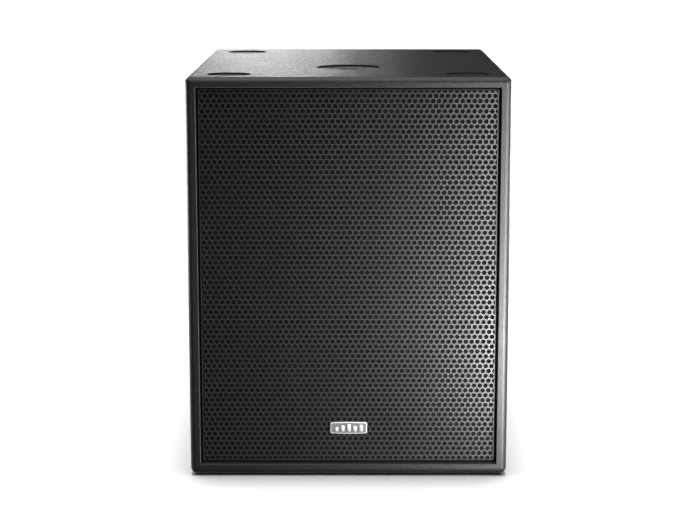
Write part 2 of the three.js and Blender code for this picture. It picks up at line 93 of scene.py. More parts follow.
# %% Camera
def linked(name, data):
    """An object for some data, in the scene."""
    made = bpy.data.objects.new(name, data)
    bpy.context.collection.objects.link(made)
    return made


ASIDE, STAND_BACK, ABOVE_TOP, TIPPED_DOWN = 0.008, 3.057, 0.254, 10.55
low, high = (Vector(corner) for corner in CAD_BOX)
camera_data = bpy.data.cameras.new("front_camera")
camera_data.lens, camera_data.sensor_width = 93.8, 36
camera_data.dof.use_dof = False
camera = linked("front_camera", camera_data)
camera.location = (ASIDE, low.y - STAND_BACK, high.z + ABOVE_TOP)
camera.rotation_euler = (radians(90 - TIPPED_DOWN), 0, radians(0.1))
bpy.context.scene.camera = camera
print("camera stands", round(low.y - camera.location.y, 3), "m in front")

# %% [markdown]
# ## Helpers for shapes
# Most pieces here are turned, pushed out of an outline, or cut out of another piece.
# Each helper starts a small bmesh and uses one operator on it, so the shape can be
# read from the call. `finish` writes a bmesh to an object at the origin, because the
# export expects every piece to hold its place in its mesh. It also parents the piece to
# the body it rides on, hides the imported nodes it stands for, and fills its material
# slots.

# %% Mesh helpers
PAST = 10 * MM  # how far a cutter runs past what it cuts


def mm(points, level=0, aside=0):
    """Pairs in millimetres, counted from a level along the second of them."""
    return [(aside + u * MM, level + v * MM) for u, v in points]


def shade(bm, smooth):
    """Smooth faces, creased where the surface turns by more than an angle."""
    for face in bm.faces:
        face.smooth = True
    for edge in bm.edges:
        if len(edge.link_faces) == 2:
            edge.smooth = edge.calc_face_angle(0) < radians(smooth)


def written(bm, name):
    mesh = bpy.data.meshes.new(name)
    bm.to_mesh(mesh)
    bm.free()
    return mesh


def finish(bm, name, material, nodes=(), body="cabinet", smooth=35, merge=1e-5,
           outward=True):
    """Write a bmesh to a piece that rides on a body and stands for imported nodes."""
    if merge:
        bmesh.ops.remove_doubles(bm, verts=bm.verts, dist=merge)
    if outward:
        bmesh.ops.recalc_face_normals(bm, faces=bm.faces)
    shade(bm, smooth)
    piece = linked(name, written(bm, name))
    for item in material if isinstance(material, list) else [material]:
        piece.data.materials.append(item)
    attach(piece, body)
    if nodes:
        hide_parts(*([nodes] if isinstance(nodes, str) else nodes))
    return piece


def box(bm, lo, hi):
    """A box between two corners."""
    lo, hi = Vector(lo), Vector(hi)
    place = Matrix.Translation((lo + hi) / 2) @ Matrix.Diagonal((*(hi - lo), 1))
    return bmesh.ops.create_cube(bm, size=1, matrix=place)["verts"]


def edges_of(verts):
    return list({edge for vert in verts for edge in vert.link_edges})


def round_edges(bm, edges, radius, segments=3):
    return bmesh.ops.bevel(
        bm, geom=list(edges), offset=radius, segments=segments, profile=0.5,
        affect="EDGES", material=-1, clamp_overlap=True,
    )


def rounded_box(bm, lo, hi, radius, segments=2):
    """A box with every edge rounded."""
    verts = box(bm, lo, hi)
    return round_edges(bm, edges_of(verts), radius, segments)


def turned(bm, profile, centre, axis="Y", steps=32):
    """Spin a profile of (radius, distance along the axis) pairs round the axis."""
    along = {"X": Vector((1, 0, 0)), "Y": Vector((0, 1, 0)), "Z": Vector((0, 0, 1))}[axis]
    out = Vector((0, 0, 1)) if axis != "Z" else Vector((1, 0, 0))
    centre = Vector(centre)
    verts = [bm.verts.new(centre + out * r + along * d) for r, d in profile]
    chain = verts + [bm.edges.new(pair) for pair in zip(verts, verts[1:])]
    if profile[0][0] > 0 and profile[-1] != profile[0] and profile[-1][0] > 0:
        chain.append(bm.edges.new((verts[-1], verts[0])))
    made = bmesh.ops.spin(
        bm, geom=chain, cent=centre, axis=along, angle=2 * pi, steps=steps, use_merge=True,
    )
    return made["geom_last"]


def rounded_outline(wide, high, radius, steps=6, middle=(0, 0)):
    """Points of a rounded rectangle, anticlockwise, centred on middle."""
    points = []
    for turn, (sx, sy) in enumerate([(1, 1), (-1, 1), (-1, -1), (1, -1)]):
        cx = middle[0] + sx * (wide / 2 - radius)
        cy = middle[1] + sy * (high / 2 - radius)
        for step in range(steps + 1):
            angle = (turn + step / steps) * pi / 2
            points.append((cx + radius * cos(angle), cy + radius * sin(angle)))
    return points


def placed(point, level, axis):
    u, v = point
    return {"X": (level, u, v), "Y": (u, level, v), "Z": (u, v, level)}[axis]


def pushed(bm, outline, start, end, axis="Y"):
    """A closed slab: an outline, filled and pushed from one level to another."""
    verts = [bm.verts.new(placed(point, start, axis)) for point in outline]
    face = bm.faces.new(verts)
    made = bmesh.ops.extrude_face_region(bm, geom=[face])["geom"]
    moved = [item for item in made if isinstance(item, bmesh.types.BMVert)]
    step = Vector(placed((0, 0), end - start, axis))
    bmesh.ops.translate(bm, verts=moved, vec=step)
    return verts + moved


def rim(bm, axis, level, within=None):
    """Edges that lie at one level along an axis and turn a corner there."""
    i = "XYZ".index(axis)
    chosen = []
    for edge in bm.edges:
        if any(abs(vert.co[i] - level) > 2e-5 for vert in edge.verts):
            continue
        if len(edge.link_faces) != 2 or edge.calc_face_angle(0) < radians(40):
            continue
        middle = (edge.verts[0].co + edge.verts[1].co) / 2
        if within is None or within(middle):
            chosen.append(edge)
    return chosen


def solid_object(fill, name="cutter"):
    """A loose object for one boolean cut; fill draws into its bmesh."""
    bm = bmesh.new()
    fill(bm)
    bmesh.ops.remove_doubles(bm, verts=bm.verts, dist=1e-6)
    bmesh.ops.recalc_face_normals(bm, faces=bm.faces)
    return linked(name, written(bm, name))


def shape(tool, *measures):
    """A drawing step to hand to carve: one tool with its measures."""
    return lambda bm: tool(bm, *measures)


def carve(fill, cutters):
    """Draw a body, cut every cutter out of it, and give back the result as a bmesh."""
    body = solid_object(fill, "body")
    for cutter in cutters:
        tool = solid_object(cutter)
        change = body.modifiers.new("cut", "BOOLEAN")
        change.operation, change.solver, change.object = "DIFFERENCE", "EXACT", tool
    ready = body.evaluated_get(bpy.context.evaluated_depsgraph_get())
    bm = bmesh.new()
    bm.from_mesh(ready.to_mesh())
    ready.to_mesh_clear()
    tools = [change.object for change in body.modifiers]
    for old in [body, *tools]:
        data = old.data
        bpy.data.objects.remove(old)
        bpy.data.meshes.remove(data)
    bmesh.ops.dissolve_degenerate(bm, dist=1e-6, edges=bm.edges)
    return bm


def flat_shaded(piece):
    """Large flat faces keep their own normal beside rounded edges."""
    weighted = piece.modifiers.new("flat faces stay flat", "WEIGHTED_NORMAL")
    weighted.keep_sharp = True
    weighted.weight = 100
    return piece


print("helpers ready")

# %% [markdown]
# ## A small language for materials
# A node tree is easier to read as a sum. `Wire` stands for one socket, and its
# operators add Math nodes, so `0.4 + 0.2 * grain` is a recipe for roughness.
# `Recipe.node` adds any other node: its settings first, then what goes into it.

# %% Wires and recipes
class Wire:
    """One output socket; arithmetic on it adds Math nodes."""

    def __init__(self, recipe, socket):
        self.recipe, self.socket = recipe, socket

    def math(self, operation, *values):
        return self.recipe.node("ShaderNodeMath", {"operation": operation}, values)

    def __add__(self, other):
        return self.math("ADD", self, other)

    def __sub__(self, other):
        return self.math("SUBTRACT", self, other)

    def __rsub__(self, other):
        return self.math("SUBTRACT", other, self)

    def __mul__(self, other):
        return self.math("MULTIPLY", self, other)

    __radd__, __rmul__ = __add__, __mul__

    def between(self, low, high):
        """0 below low, 1 above high, smooth in between."""
        settings = {"interpolation_type": "SMOOTHSTEP"}
        return self.recipe.node("ShaderNodeMapRange", settings, {0: self, 1: low, 2: high})


class Recipe:
    """One procedural material."""

    def __init__(self, name, owner=None):
        self.material = owner or bpy.data.materials.new(name)
        self.material.use_nodes = True
        self.tree = self.material.node_tree
        self.tree.nodes.clear()

    def node(self, kind, settings=None, inputs=(), out=0):
        made = self.tree.nodes.new(kind)
        for key, value in (settings or {}).items():
            setattr(made, key, value)
        for key, value in inputs.items() if isinstance(inputs, dict) else enumerate(inputs):
            if isinstance(value, Wire):
                self.tree.links.new(value.socket, made.inputs[key])
            else:
                made.inputs[key].default_value = value
        return Wire(self, made.outputs[out]) if made.outputs else None

    def place(self, scale=(1, 1, 1)):
        """Object coordinates, which are metres on every piece."""
        where = self.node("ShaderNodeTexCoord", out="Object")
        return self.node("ShaderNodeMapping", {}, {"Vector": where, "Scale": scale})

    def noise(self, per_metre, detail=3.0, rough=0.5, where=None):
        inputs = {"Vector": where or self.place(), "Scale": per_metre, "Detail": detail,
                  "Roughness": rough}
        return self.node("ShaderNodeTexNoise", {}, inputs)

    def cells(self, per_metre):
        inputs = {"Vector": self.place(), "Scale": per_metre}
        return self.node("ShaderNodeTexVoronoi", {}, inputs)

    def bands(self, direction, per_metre, distortion=0.0, profile="SIN"):
        """Stripes that follow each other along one axis."""
        settings = {"bands_direction": direction, "wave_profile": profile}
        inputs = {"Vector": self.place(), "Scale": per_metre, "Distortion": distortion}
        return self.node("ShaderNodeTexWave", settings, inputs)

    def blend(self, amount, first, second):
        """Mix two colours."""
        pick = lambda colour: colour if isinstance(colour, Wire) else (*colour, 1)
        settings = {"data_type": "RGBA"}
        return self.node("ShaderNodeMix", settings,
                         {0: amount, 6: pick(first), 7: pick(second)}, out=2)

    def bump(self, height, depth, strength=1.0):
        inputs = {"Strength": strength, "Distance": depth, "Height": height}
        return self.node("ShaderNodeBump", {}, inputs)

    def shader(self, colour, roughness, normal=None, **others):
        inputs = {"Base Color": colour if isinstance(colour, Wire) else (*colour, 1),
                  "Roughness": roughness}
        if normal:
            inputs["Normal"] = normal
        inputs.update({key.replace("_", " "): value for key, value in others.items()})
        surface = self.node("ShaderNodeBsdfPrincipled", {}, inputs)
        self.node("ShaderNodeOutputMaterial", {}, {"Surface": surface})
        return self.material


print("recipes ready")

# %% [markdown]
# ## Textured cabinet paint
# Touring cabinets are sprayed with a thick two-part paint that dries as fine beads.
# It could be a displaced mesh, but beads under a millimetre across over two square
# metres would take millions of faces, so the beads are a bump: cells for the beads,
# noise for the flow between them. The tops of the beads are shinier than the hollows,
# and where cases rub the paint is polished smoother and a little greyer.

# %% Paint
def textured_paint(name, tone):
    recipe = Recipe(name)
    beads = recipe.cells(620).between(0.15, 0.75)
    flow = recipe.noise(240, detail=5, rough=0.65)
    broad = recipe.noise(9, detail=5, rough=0.6)
    speckle = flow.between(0.42, 0.60)
    worn = broad.between(0.52, 0.72)
    light = tuple(channel * 1.6 for channel in tone)
    colour = recipe.blend(worn * 0.4 + speckle * 0.4, tone, light)
    roughness = 0.30 + speckle * 0.16 + beads * 0.05 - worn * 0.04
    height = (1 - beads) * 0.4 + flow
    normal = recipe.bump(height, 0.00045, strength=0.6)
    return recipe.shader(colour, roughness, normal, Specular_IOR_Level=0.28)


PAINT = textured_paint("textured_black_paint", (0.0045, 0.0050, 0.0048))
print("paint:", PAINT.name)

# %% [markdown]
# ## Powder-coated steel, foam, rubber and the other finishes
# Powder coat is smoother than cabinet paint, with a faint orange-peel. Open-cell foam
# is matte and pitted, and its pits are painted darker as painted shade. Rubber has a soft
# bloom. Bare metal shows the direction it was brushed or turned in, drawn by stretching the noise.

# %% Steel, foam and rubber
def powder_coat(name, tone, rough, specular=0.35):
    recipe = Recipe(name)
    grain = recipe.noise(900, detail=2)
    broad = recipe.noise(14, detail=4)
    colour = recipe.blend(broad, tone, tuple(channel * 1.25 for channel in tone))
    normal = recipe.bump(grain, 0.00002, strength=0.5)
    return recipe.shader(colour, rough + grain * 0.06 + broad * 0.04, normal,
                         Specular_IOR_Level=specular)


def open_foam(name, tone):
    recipe = Recipe(name)
    pores = recipe.cells(520).between(0.1, 0.7)
    soft = recipe.noise(40, detail=3)
    # painted shade: the foam's colour is darker at the middle of each cell, in the pits of the bump, where
    # shade falls
    pore_shade = tuple(channel * 0.45 for channel in tone)
    colour = recipe.blend(pores * 0.7 + soft * 0.3, pore_shade, tone)
    normal = recipe.bump(pores + soft * 0.3, 0.0008, strength=0.8)
    return recipe.shader(colour, 0.88 + soft * 0.1, normal, Specular_IOR_Level=0.04)


def moulded(name, tone, rough, grain_size=700, depth=0.0001):
    """Moulded rubber or plastic with a fine spark-eroded grain."""
    recipe = Recipe(name)
    grain = recipe.noise(grain_size, detail=3)
    broad = recipe.noise(25, detail=3)
    colour = recipe.blend(broad * 0.6 + grain * 0.2, tone, tuple(c * 1.4 for c in tone))
    normal = recipe.bump(grain, depth, strength=0.6)
    return recipe.shader(colour, rough + broad * 0.06 + grain * 0.05, normal)


def brushed(name, tone, rough, stretch=(40, 2600, 2600), metallic=1.0):
    """Bare metal with fine lines along the axis of the smallest stretch."""
    recipe = Recipe(name)
    lines = recipe.noise(1, detail=4, where=recipe.place(stretch))
    stain = recipe.noise(30, detail=3)
    colour = recipe.blend(lines * 0.5 + stain * 0.3, tone, tuple(c * 0.72 for c in tone))
    normal = recipe.bump(lines, 0.00002, strength=0.4)
    return recipe.shader(colour, rough + lines * 0.12, normal, Metallic=metallic)


GRILLE_COAT = powder_coat("grille_powder_coat", (0.013, 0.0135, 0.0137), rough=0.30,
                           specular=0.85)
PLATE_COAT = powder_coat("plate_powder_coat", (0.024, 0.025, 0.026), rough=0.42)
FOAM = open_foam("open_cell_foam", (0.0036, 0.0037, 0.0038))
RUBBER = moulded("foot_rubber", (0.018, 0.018, 0.019), 0.72)
HANDLE_PLASTIC = moulded("handle_plastic", (0.022, 0.023, 0.024), 0.48, 500, 0.0002)
KNOB_PLASTIC = moulded("knob_plastic", (0.016, 0.016, 0.017), 0.38)
SOCKET_PLASTIC = moulded("socket_plastic", (0.014, 0.014, 0.015), 0.42)
ZINC = brushed("plated_steel", (0.62, 0.63, 0.64), 0.32)
BLACK_SCREW = powder_coat("blackened_screw", (0.030, 0.030, 0.032), rough=0.34)
NICKEL = brushed("nickel_shell", (0.55, 0.56, 0.57), 0.28, (900, 900, 900))
GOLD = brushed("contact_gold", (0.83, 0.62, 0.25), 0.25, (900, 900, 900))
BADGE_METAL = brushed("badge_brushed_metal", (0.13, 0.133, 0.137), 0.5, (60, 2400, 2400))
BADGE_RIM = brushed("badge_polished_rim", (0.55, 0.56, 0.57), 0.4, (900, 900, 900))
print("finishes:", len(bpy.data.materials))

# %% [markdown]
# ## The painted box
# Five plywood panels are glued, rounded over and sprayed, and the paint hides every
# joint. So what is seen is one skin, and it is made as one piece: a block with all
# twelve edges rounded, and then everything the router takes out of it. Rounding first
# keeps the edges clean, because a bevel after the cuts would have to turn the corner
# of each recess. The rims of the cuts get their own much smaller rounding at the end.

# %% Measures of the box
def middle_of(node):
    lo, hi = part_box(node)
    return (lo + hi) / 2


PLY = 18 * MM
FRONT, BACK = low.y, high.y
FLOOR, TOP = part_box("bottom_panel")[0].z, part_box("top_panel")[1].z
INNER_X = high.x - PLY
INNER_LOW, INNER_TOP = FLOOR + PLY, TOP - PLY
FEET = [middle_of(f"foot_{i}") for i in range(1, 5)]
pole_lo, pole_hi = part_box("pole_plate")
POLE = middle_of("pole_plate")
amp_lo, amp_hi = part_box("amp_panel")
amp_mid = middle_of("amp_panel")
HANDLE = middle_of("handle_right")
handle_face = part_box("handle_right")[1].x
print("floor", FLOOR, "top", TOP, "pole", POLE, "handle", HANDLE)

# %% Painted box
STACK_DEPTH, STACK_RADIUS = 3, 37.5
SEAT, BORE, SEAT_DEPTH = 57 * MM, 23 * MM, 6 * MM


def handle_opening(side):
    """A shallow seat for the flange, then the hole through to the inside."""
    middle = (HANDLE.y, HANDLE.z)

    def draw(bm):
        seat = rounded_outline(241 * MM, 141 * MM, 16.5 * MM, 5, middle)
        hole = rounded_outline(208 * MM, 108 * MM, 21 * MM, 5, middle)
        pushed(bm, seat, side * (high.x - 3.3 * MM), side * (high.x + PAST), "X")
        pushed(bm, hole, side * (INNER_X - 5 * MM), side * (high.x - 3 * MM), "X")
    return draw


def stack_recess(foot):
    rise = STACK_DEPTH + PAST / MM
    profile = mm([(0, 0), (STACK_RADIUS - 0.6, 0), (STACK_RADIUS, 0.6),
                  (STACK_RADIUS, rise), (0, rise)], TOP - STACK_DEPTH * MM)
    return shape(turned, profile, (foot.x, foot.y, 0), "Z", 64)


amp_hole = rounded_outline(284 * MM, 384 * MM, 6 * MM, 4, (0, amp_mid.z))
pole_hole = [(0, INNER_TOP - PAST), (BORE, INNER_TOP - PAST), (BORE, TOP - SEAT_DEPTH),
             (SEAT, TOP - SEAT_DEPTH), (SEAT, TOP + PAST), (0, TOP + PAST)]
cuts = [
    shape(box, (-INNER_X, FRONT - PAST, INNER_LOW), (INNER_X, BACK - PLY, INNER_TOP)),
    shape(pushed, amp_hole, BACK - PLY - PAST, BACK + PAST),
    handle_opening(-1), handle_opening(1),
    shape(turned, pole_hole, (0, POLE.y, 0), "Z", 96),
    *(stack_recess(foot) for foot in FEET),
]
block = shape(rounded_box, (low.x, FRONT, FLOOR), (high.x, BACK, TOP), 10 * MM, 5)
bm = carve(block, cuts)
on_front = lambda p: abs(p.x) < INNER_X + 2 * MM and INNER_LOW - 2 * MM < p.z < INNER_TOP + 2 * MM
round_edges(bm, rim(bm, "Y", FRONT, on_front), 1.2 * MM, 3)
round_edges(bm, rim(bm, "Z", TOP), 0.8 * MM, 2)
on_back = lambda p: abs(p.x) < 0.15 and amp_lo.z - PAST < p.z < amp_hi.z + PAST
round_edges(bm, rim(bm, "Y", BACK, on_back), 0.8 * MM, 2)
for side in (-1, 1):
    round_edges(bm, rim(bm, "X", side * high.x), 0.6 * MM, 2)
panels = ["top_panel", "bottom_panel", "left_side_panel", "right_side_panel", "rear_panel"]
painted_box = flat_shaded(finish(bm, "painted_box", PAINT, panels,
                                 smooth=38, outward=False))
print("painted box faces:", len(painted_box.data.polygons))

# %% [markdown]
# ## The grille
# The sheet is punched with six-sided holes on a ten millimetre pitch, then folded back
# along all four sides. Nearly four thousand holes are far too many to cut one by one.
# One hole is enough: a six-sided cell is inset to leave the web, its middle is taken
# away, and the cell is copied along a row and the row up the sheet. Merging the doubles
# joins the cells, four cuts trim the field to the sheet, and one extrusion gives it
# thickness, which also makes every hole's wall.

# %% Perforated sheet
grille_lo, grille_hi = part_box("grille")
PITCH, WEB, SHEET = 10 * MM, 2.0 * MM, 1.5 * MM
ROW = PITCH * cos(radians(30))
ACROSS, PAIRS_OF_ROWS = 52, 38
FIRST_ROW = grille_hi.z - 2.7 * MM


def verts_in(geom):
    return [item for item in geom if isinstance(item, bmesh.types.BMVert)]


def everything(bm):
    return bm.verts[:] + bm.edges[:] + bm.faces[:]


def hole_cell(bm):
    """The web round one hole: a six-sided ring that stands on a point."""
    turn = Matrix.Rotation(radians(90), 4, "X") @ Matrix.Rotation(radians(30), 4, "Z")
    made = bmesh.ops.create_circle(
        bm, cap_ends=True, segments=6, radius=PITCH / 2 / cos(radians(30)), matrix=turn)
    face = made["verts"][0].link_faces[0]
    bmesh.ops.inset_individual(bm, faces=[face], thickness=WEB / 2, use_even_offset=True)
    bmesh.ops.delete(bm, geom=[face], context="FACES_ONLY")


def copies(bm, geom, count, step):
    """Repeat geometry in a line, counting the first."""
    for i in range(1, count):
        copy = bmesh.ops.duplicate(bm, geom=geom)["geom"]
        bmesh.ops.translate(bm, verts=verts_in(copy), vec=step * i)


bm = bmesh.new()
hole_cell(bm)
copies(bm, everything(bm), ACROSS, Vector((PITCH, 0, 0)))
copies(bm, everything(bm), 2, Vector((PITCH / 2, 0, -ROW)))
copies(bm, everything(bm), PAIRS_OF_ROWS, Vector((0, 0, -2 * ROW)))
first = Vector((-(ACROSS - 0.5) / 2 * PITCH, grille_lo.y, FIRST_ROW))
bmesh.ops.translate(bm, verts=bm.verts, vec=first)
bmesh.ops.remove_doubles(bm, verts=bm.verts, dist=2e-5)
inset = SHEET + 0.2 * MM
for axis in (0, 2):
    for sign, level in ((1, grille_hi[axis] - inset), (-1, grille_lo[axis] + inset)):
        normal, point = Vector(), Vector()
        normal[axis], point[axis] = sign, level
        bmesh.ops.bisect_plane(bm, geom=everything(bm), dist=1e-6, plane_co=point,
                               plane_no=normal, clear_outer=True)
skin = bmesh.ops.extrude_face_region(bm, geom=bm.faces[:], use_keep_orig=True)["geom"]
bmesh.ops.translate(bm, verts=verts_in(skin), vec=Vector((0, SHEET, 0)))
perforated = finish(bm, "grille_perforated_sheet", GRILLE_COAT, "grille",
                    merge=0)
print("perforated sheet faces:", len(perforated.data.polygons))

# %% [markdown]
# ## The folded sides of the grille
# The sheet turns back through a small radius along every side. A frame outline is
# drawn once, its front corner is rounded, and it is pushed back to the flange depth.

# %% Folded sides
grille_mid = (middle_of("grille").x, middle_of("grille").z)
grille_wide, grille_high = grille_hi.x - grille_lo.x, grille_hi.z - grille_lo.z


def flange_block(bm):
    outline = rounded_outline(grille_wide, grille_high, 3 * MM, 4, grille_mid)
    pushed(bm, outline, grille_lo.y, grille_hi.y)
    round_edges(bm, rim(bm, "Y", grille_lo.y), 1.4 * MM, 4)


inside = rounded_outline(grille_wide - 2 * SHEET, grille_high - 2 * SHEET, 2 * MM, 4,
                         grille_mid)
hollow = shape(pushed, inside, grille_lo.y - PAST, grille_hi.y + PAST)
folded = flat_shaded(finish(carve(flange_block, [hollow]), "grille_folded_sides",
                            GRILLE_COAT, "grille", outward=False))
print("folded sides faces:", len(folded.data.polygons))

# %% [markdown]
# ## Foam behind the grille
# A sheet of open-cell foam keeps dust off the cone and shows through every hole. A
# plain slab would look printed, so its front is divided into a grid and each point is
# moved a little with smooth noise, as foam that was laid in by hand sits.

# %% Grille foam
foam_lo, foam_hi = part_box("grille_foam")
foam_size, foam_mid = foam_hi - foam_lo, middle_of("grille_foam")
bm = bmesh.new()
place = (Matrix.Translation((foam_mid.x, foam_hi.y, foam_mid.z))
         @ Matrix.Rotation(radians(90), 4, "X")
         @ Matrix.Diagonal((foam_size.x, foam_size.z, 1, 1)))
bmesh.ops.create_grid(bm, x_segments=48, y_segments=60, size=0.5, matrix=place)
made = bmesh.ops.extrude_face_region(bm, geom=bm.faces[:], use_keep_orig=True)["geom"]
front = verts_in(made)
bmesh.ops.translate(bm, verts=front, vec=Vector((0, foam_lo.y - foam_hi.y + 0.4 * MM, 0)))
for vert in front:
    vert.co.y += 0.35 * MM * noise.noise(vert.co * 22)
foam = finish(bm, "grille_foam_sheet", FOAM, "grille_foam")
print("foam faces:", len(foam.data.polygons))

# %% [markdown]
# ## The badge
# A small cast badge sits low on the grille: a slightly barrelled plate with a bright
# raised rim round a brushed field. A maker would put a name there. This one carries a
# row of level bars, which belong to nobody. The rim is an inset, and the field is a
# second inset pushed back, so the wall between them slopes as a casting's does.

# %% Badge
badge_lo, badge_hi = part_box("badge")
badge_mid = middle_of("badge")
half_wide = (badge_hi.x - badge_lo.x) / 2
BAR_HEIGHTS, BAR_PITCH, BAR_HALF = (7.5, 10.5, 13, 9.5, 12), 10.6 * MM, 3.1 * MM


def barrelled(point):
    u, v = point
    swell = 1 + 0.10 * (1 - (u / half_wide) ** 2)
    return badge_mid.x + u, badge_mid.z + v * swell


bm = bmesh.new()
outline = rounded_outline(2 * half_wide, 19.6 * MM, 2.6 * MM, 6)
extra = []
for (u, v), (p, q) in zip(outline, outline[1:] + outline[:1]):
    steps = 12 if abs(p - u) > 20 * MM else 1
    extra += [(u + (p - u) * i / steps, v + (q - v) * i / steps) for i in range(steps)]
pushed(bm, [barrelled(point) for point in extra], badge_hi.y, badge_lo.y + 0.2 * MM)
bm.faces.ensure_lookup_table()
face = min(bm.faces, key=lambda f: f.calc_center_median().y)
round_edges(bm, face.edges, 0.5 * MM, 3)
face = min(bm.faces, key=lambda f: (round(f.calc_center_median().y, 6), -f.calc_area()))
bmesh.ops.inset_region(bm, faces=[face], thickness=1.1 * MM)
bmesh.ops.inset_region(bm, faces=[face], thickness=0.35 * MM, depth=-0.7 * MM)
field_y = face.calc_center_median().y
face.material_index = 1
foot_z = badge_mid.z - 6.4 * MM
for i, tall in enumerate(BAR_HEIGHTS):
    x = badge_mid.x + (i - 2) * BAR_PITCH
    rounded_box(bm, (x - BAR_HALF, field_y - 0.95 * MM, foot_z),
                (x + BAR_HALF, field_y + 0.2 * MM, foot_z + tall * MM), 0.4 * MM)
finish(bm, "badge_plate", [BADGE_RIM, BADGE_METAL], "badge", merge=0, smooth=40)
print("badge field at y", round(field_y, 5))

# %% [markdown]
# ## Screws, cut once and set many times
# Each kind of screw is a turned head with its drive cut out of it. It is made once as
# a mesh that faces +Z, and copies are set into whatever piece they hold.

# %% Screw patterns
def pattern(name, fill, cutters):
    bm = carve(fill, cutters)
    shade(bm, 35)
    return written(bm, name)


def pan_head(radius, tall):
    def draw(bm):
        steps = [(radius * cos(a * pi / 10), tall * 0.55 * sin(a * pi / 10) - tall * 0.55)
                 for a in range(6)]
        turned(bm, [(0, -tall), (radius, -tall), *steps[:-1], (0, 0)], (0, 0, 0), "Z", 24)
    return draw


def cross_drive(radius, deep):
    """Two crossed slots, as two cutters, since a cutter must not run through itself."""
    sizes = [(radius * 0.16, radius * 0.62), (radius * 0.62, radius * 0.16)]
    return [shape(box, (-wide, -long, -deep), (wide, long, PAST)) for wide, long in sizes]


def hex_drive(radius, deep):
    def draw(bm):
        bmesh.ops.create_cone(bm, cap_ends=True, segments=6, radius1=radius * 0.5,
                              radius2=radius * 0.5, depth=2 * deep)
    return [draw]


PAN_SCREW = pattern("pan_screw", pan_head(3.4 * MM, 2 * MM), cross_drive(3.4 * MM, 1.5 * MM))
HEX_SCREW = pattern("hex_screw", pan_head(5.0 * MM, 2.4 * MM), hex_drive(5 * MM, 1.6 * MM))
SMALL_SCREW = pattern("small_screw", pan_head(1.9 * MM, 1.1 * MM),
                      cross_drive(1.9 * MM, 0.8 * MM))
TURNS = {"+X": (90, "Y"), "-X": (-90, "Y"), "+Y": (-90, "X"), "-Y": (90, "X"),
         "+Z": (0, "X"), "-Z": (180, "X")}
FACING = {way: Matrix.Rotation(radians(angle), 4, axis) for way, (angle, axis) in TURNS.items()}


def set_screws(name, screw, places, facing, material):
    """One piece holding a screw at each place, each turned a different amount."""
    bm = bmesh.new()
    for i, place in enumerate(places):
        before = set(bm.verts)
        bm.from_mesh(screw)
        fresh = [vert for vert in bm.verts if vert not in before]
        turn = Matrix.Rotation(radians(37 * i), 4, "Z")
        bmesh.ops.transform(bm, verts=fresh,
                            matrix=Matrix.Translation(place) @ FACING[facing] @ turn)
    finish(bm, name, material, merge=0, outward=False)


print("screw faces:", [len(mesh.polygons) for mesh in (PAN_SCREW, HEX_SCREW, SMALL_SCREW)])

# %% [markdown]
# ## Pole plate and socket
# A flanged tube takes the pole that carries a top speaker. It is one turned part:
# walking round half of its cross-section gives the profile for the spin.

# %% Pole plate
face_z, foot_z = pole_hi.z, pole_lo.z
flange = mm([(22, -2.7), (56, -2.7), (56, -0.8), (55.6, -0.25), (55, 0), (30, 0), (29.4, -0.5),
             (28, -0.5), (27.4, 0), (21, 0), (19.2, -0.5), (18, -2.2)], face_z)
bm = bmesh.new()
turned(bm, [(0, foot_z), (22 * MM, foot_z), *flange, *mm([(18, 3), (0, 3)], foot_z)],
       (0, POLE.y, 0), "Z", 96)
finish(bm, "pole_plate_turned", PLATE_COAT, "pole_plate", smooth=50)
spots = [Vector((40 * MM * cos(a), POLE.y + 40 * MM * sin(a), face_z + 1.4 * MM))
         for a in (radians(45 + 90 * i) for i in range(4))]
set_screws("pole_plate_screws", HEX_SCREW, spots, "+Z", BLACK_SCREW)
print("pole plate at", POLE)

# %% [markdown]
# ## Feet
# Each rubber foot is a low turned disc with three grooves that keep it from sliding,
# and a sunk screw. The grooves are in the profile, so the spin makes them too.

# %% Feet
for i, foot in enumerate(FEET, 1):
    base, seat = (corner.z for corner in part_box(f"foot_{i}"))
    rings = [point for r in (14, 20, 26)
             for point in ((r - 1, 0), (r - 0.6, 0.7), (r + 0.6, 0.7), (r + 1, 0))]
    profile = mm([(0, 2.2), (7, 2.2), (7.4, 0), *rings, (31, 0), (33, 0.5), (33.8, 1.6)], base)
    bm = bmesh.new()
    turned(bm, [*profile, (34 * MM, seat), (0, seat)], (foot.x, foot.y, 0), "Z", 64)
    finish(bm, f"rubber_foot_{i}", RUBBER, f"foot_{i}")
places = [Vector((foot.x, foot.y, 0.6 * MM)) for foot in FEET]
set_screws("foot_screws", PAN_SCREW, places, "-Z", ZINC)
print("feet:", len(FEET))
# %% [markdown]
# ## Side handles
# Each side has a moulded handle: a flange that beds in the panel, a cup that makes room
# for the knuckles, and a bar across it. Every section of the moulding is a rounded
# rectangle, so it is lofted: the rim of the first section is extruded, and its points
# move out or in to the next outline. Bridging finished loops would be shorter, but two
# loops in one plane can join the wrong way round. The loft gives the draft of the cup
# and the soft rims in the same step.

# %% Lofting helper
def lofted(bm, sections, axis="Y"):
    """Draw the first (outline, level), then extrude its rim from section to section."""
    outline, level = sections[0]
    loop = [bm.verts.new(placed(point, level, axis)) for point in outline]
    bm.faces.new(loop)
    for outline, level in sections[1:]:
        rim_edges = [bm.edges.get(pair) for pair in zip(loop, loop[1:] + loop[:1])]
        made = set(bmesh.ops.extrude_edge_only(bm, edges=rim_edges)["geom"])
        loop = [next(edge.other_vert(vert) for edge in vert.link_edges
                     if edge.other_vert(vert) in made) for vert in loop]
        for vert, point in zip(loop, outline):
            vert.co = placed(point, level, axis)
    bm.faces.new(loop)
    bmesh.ops.recalc_face_normals(bm, faces=bm.faces)


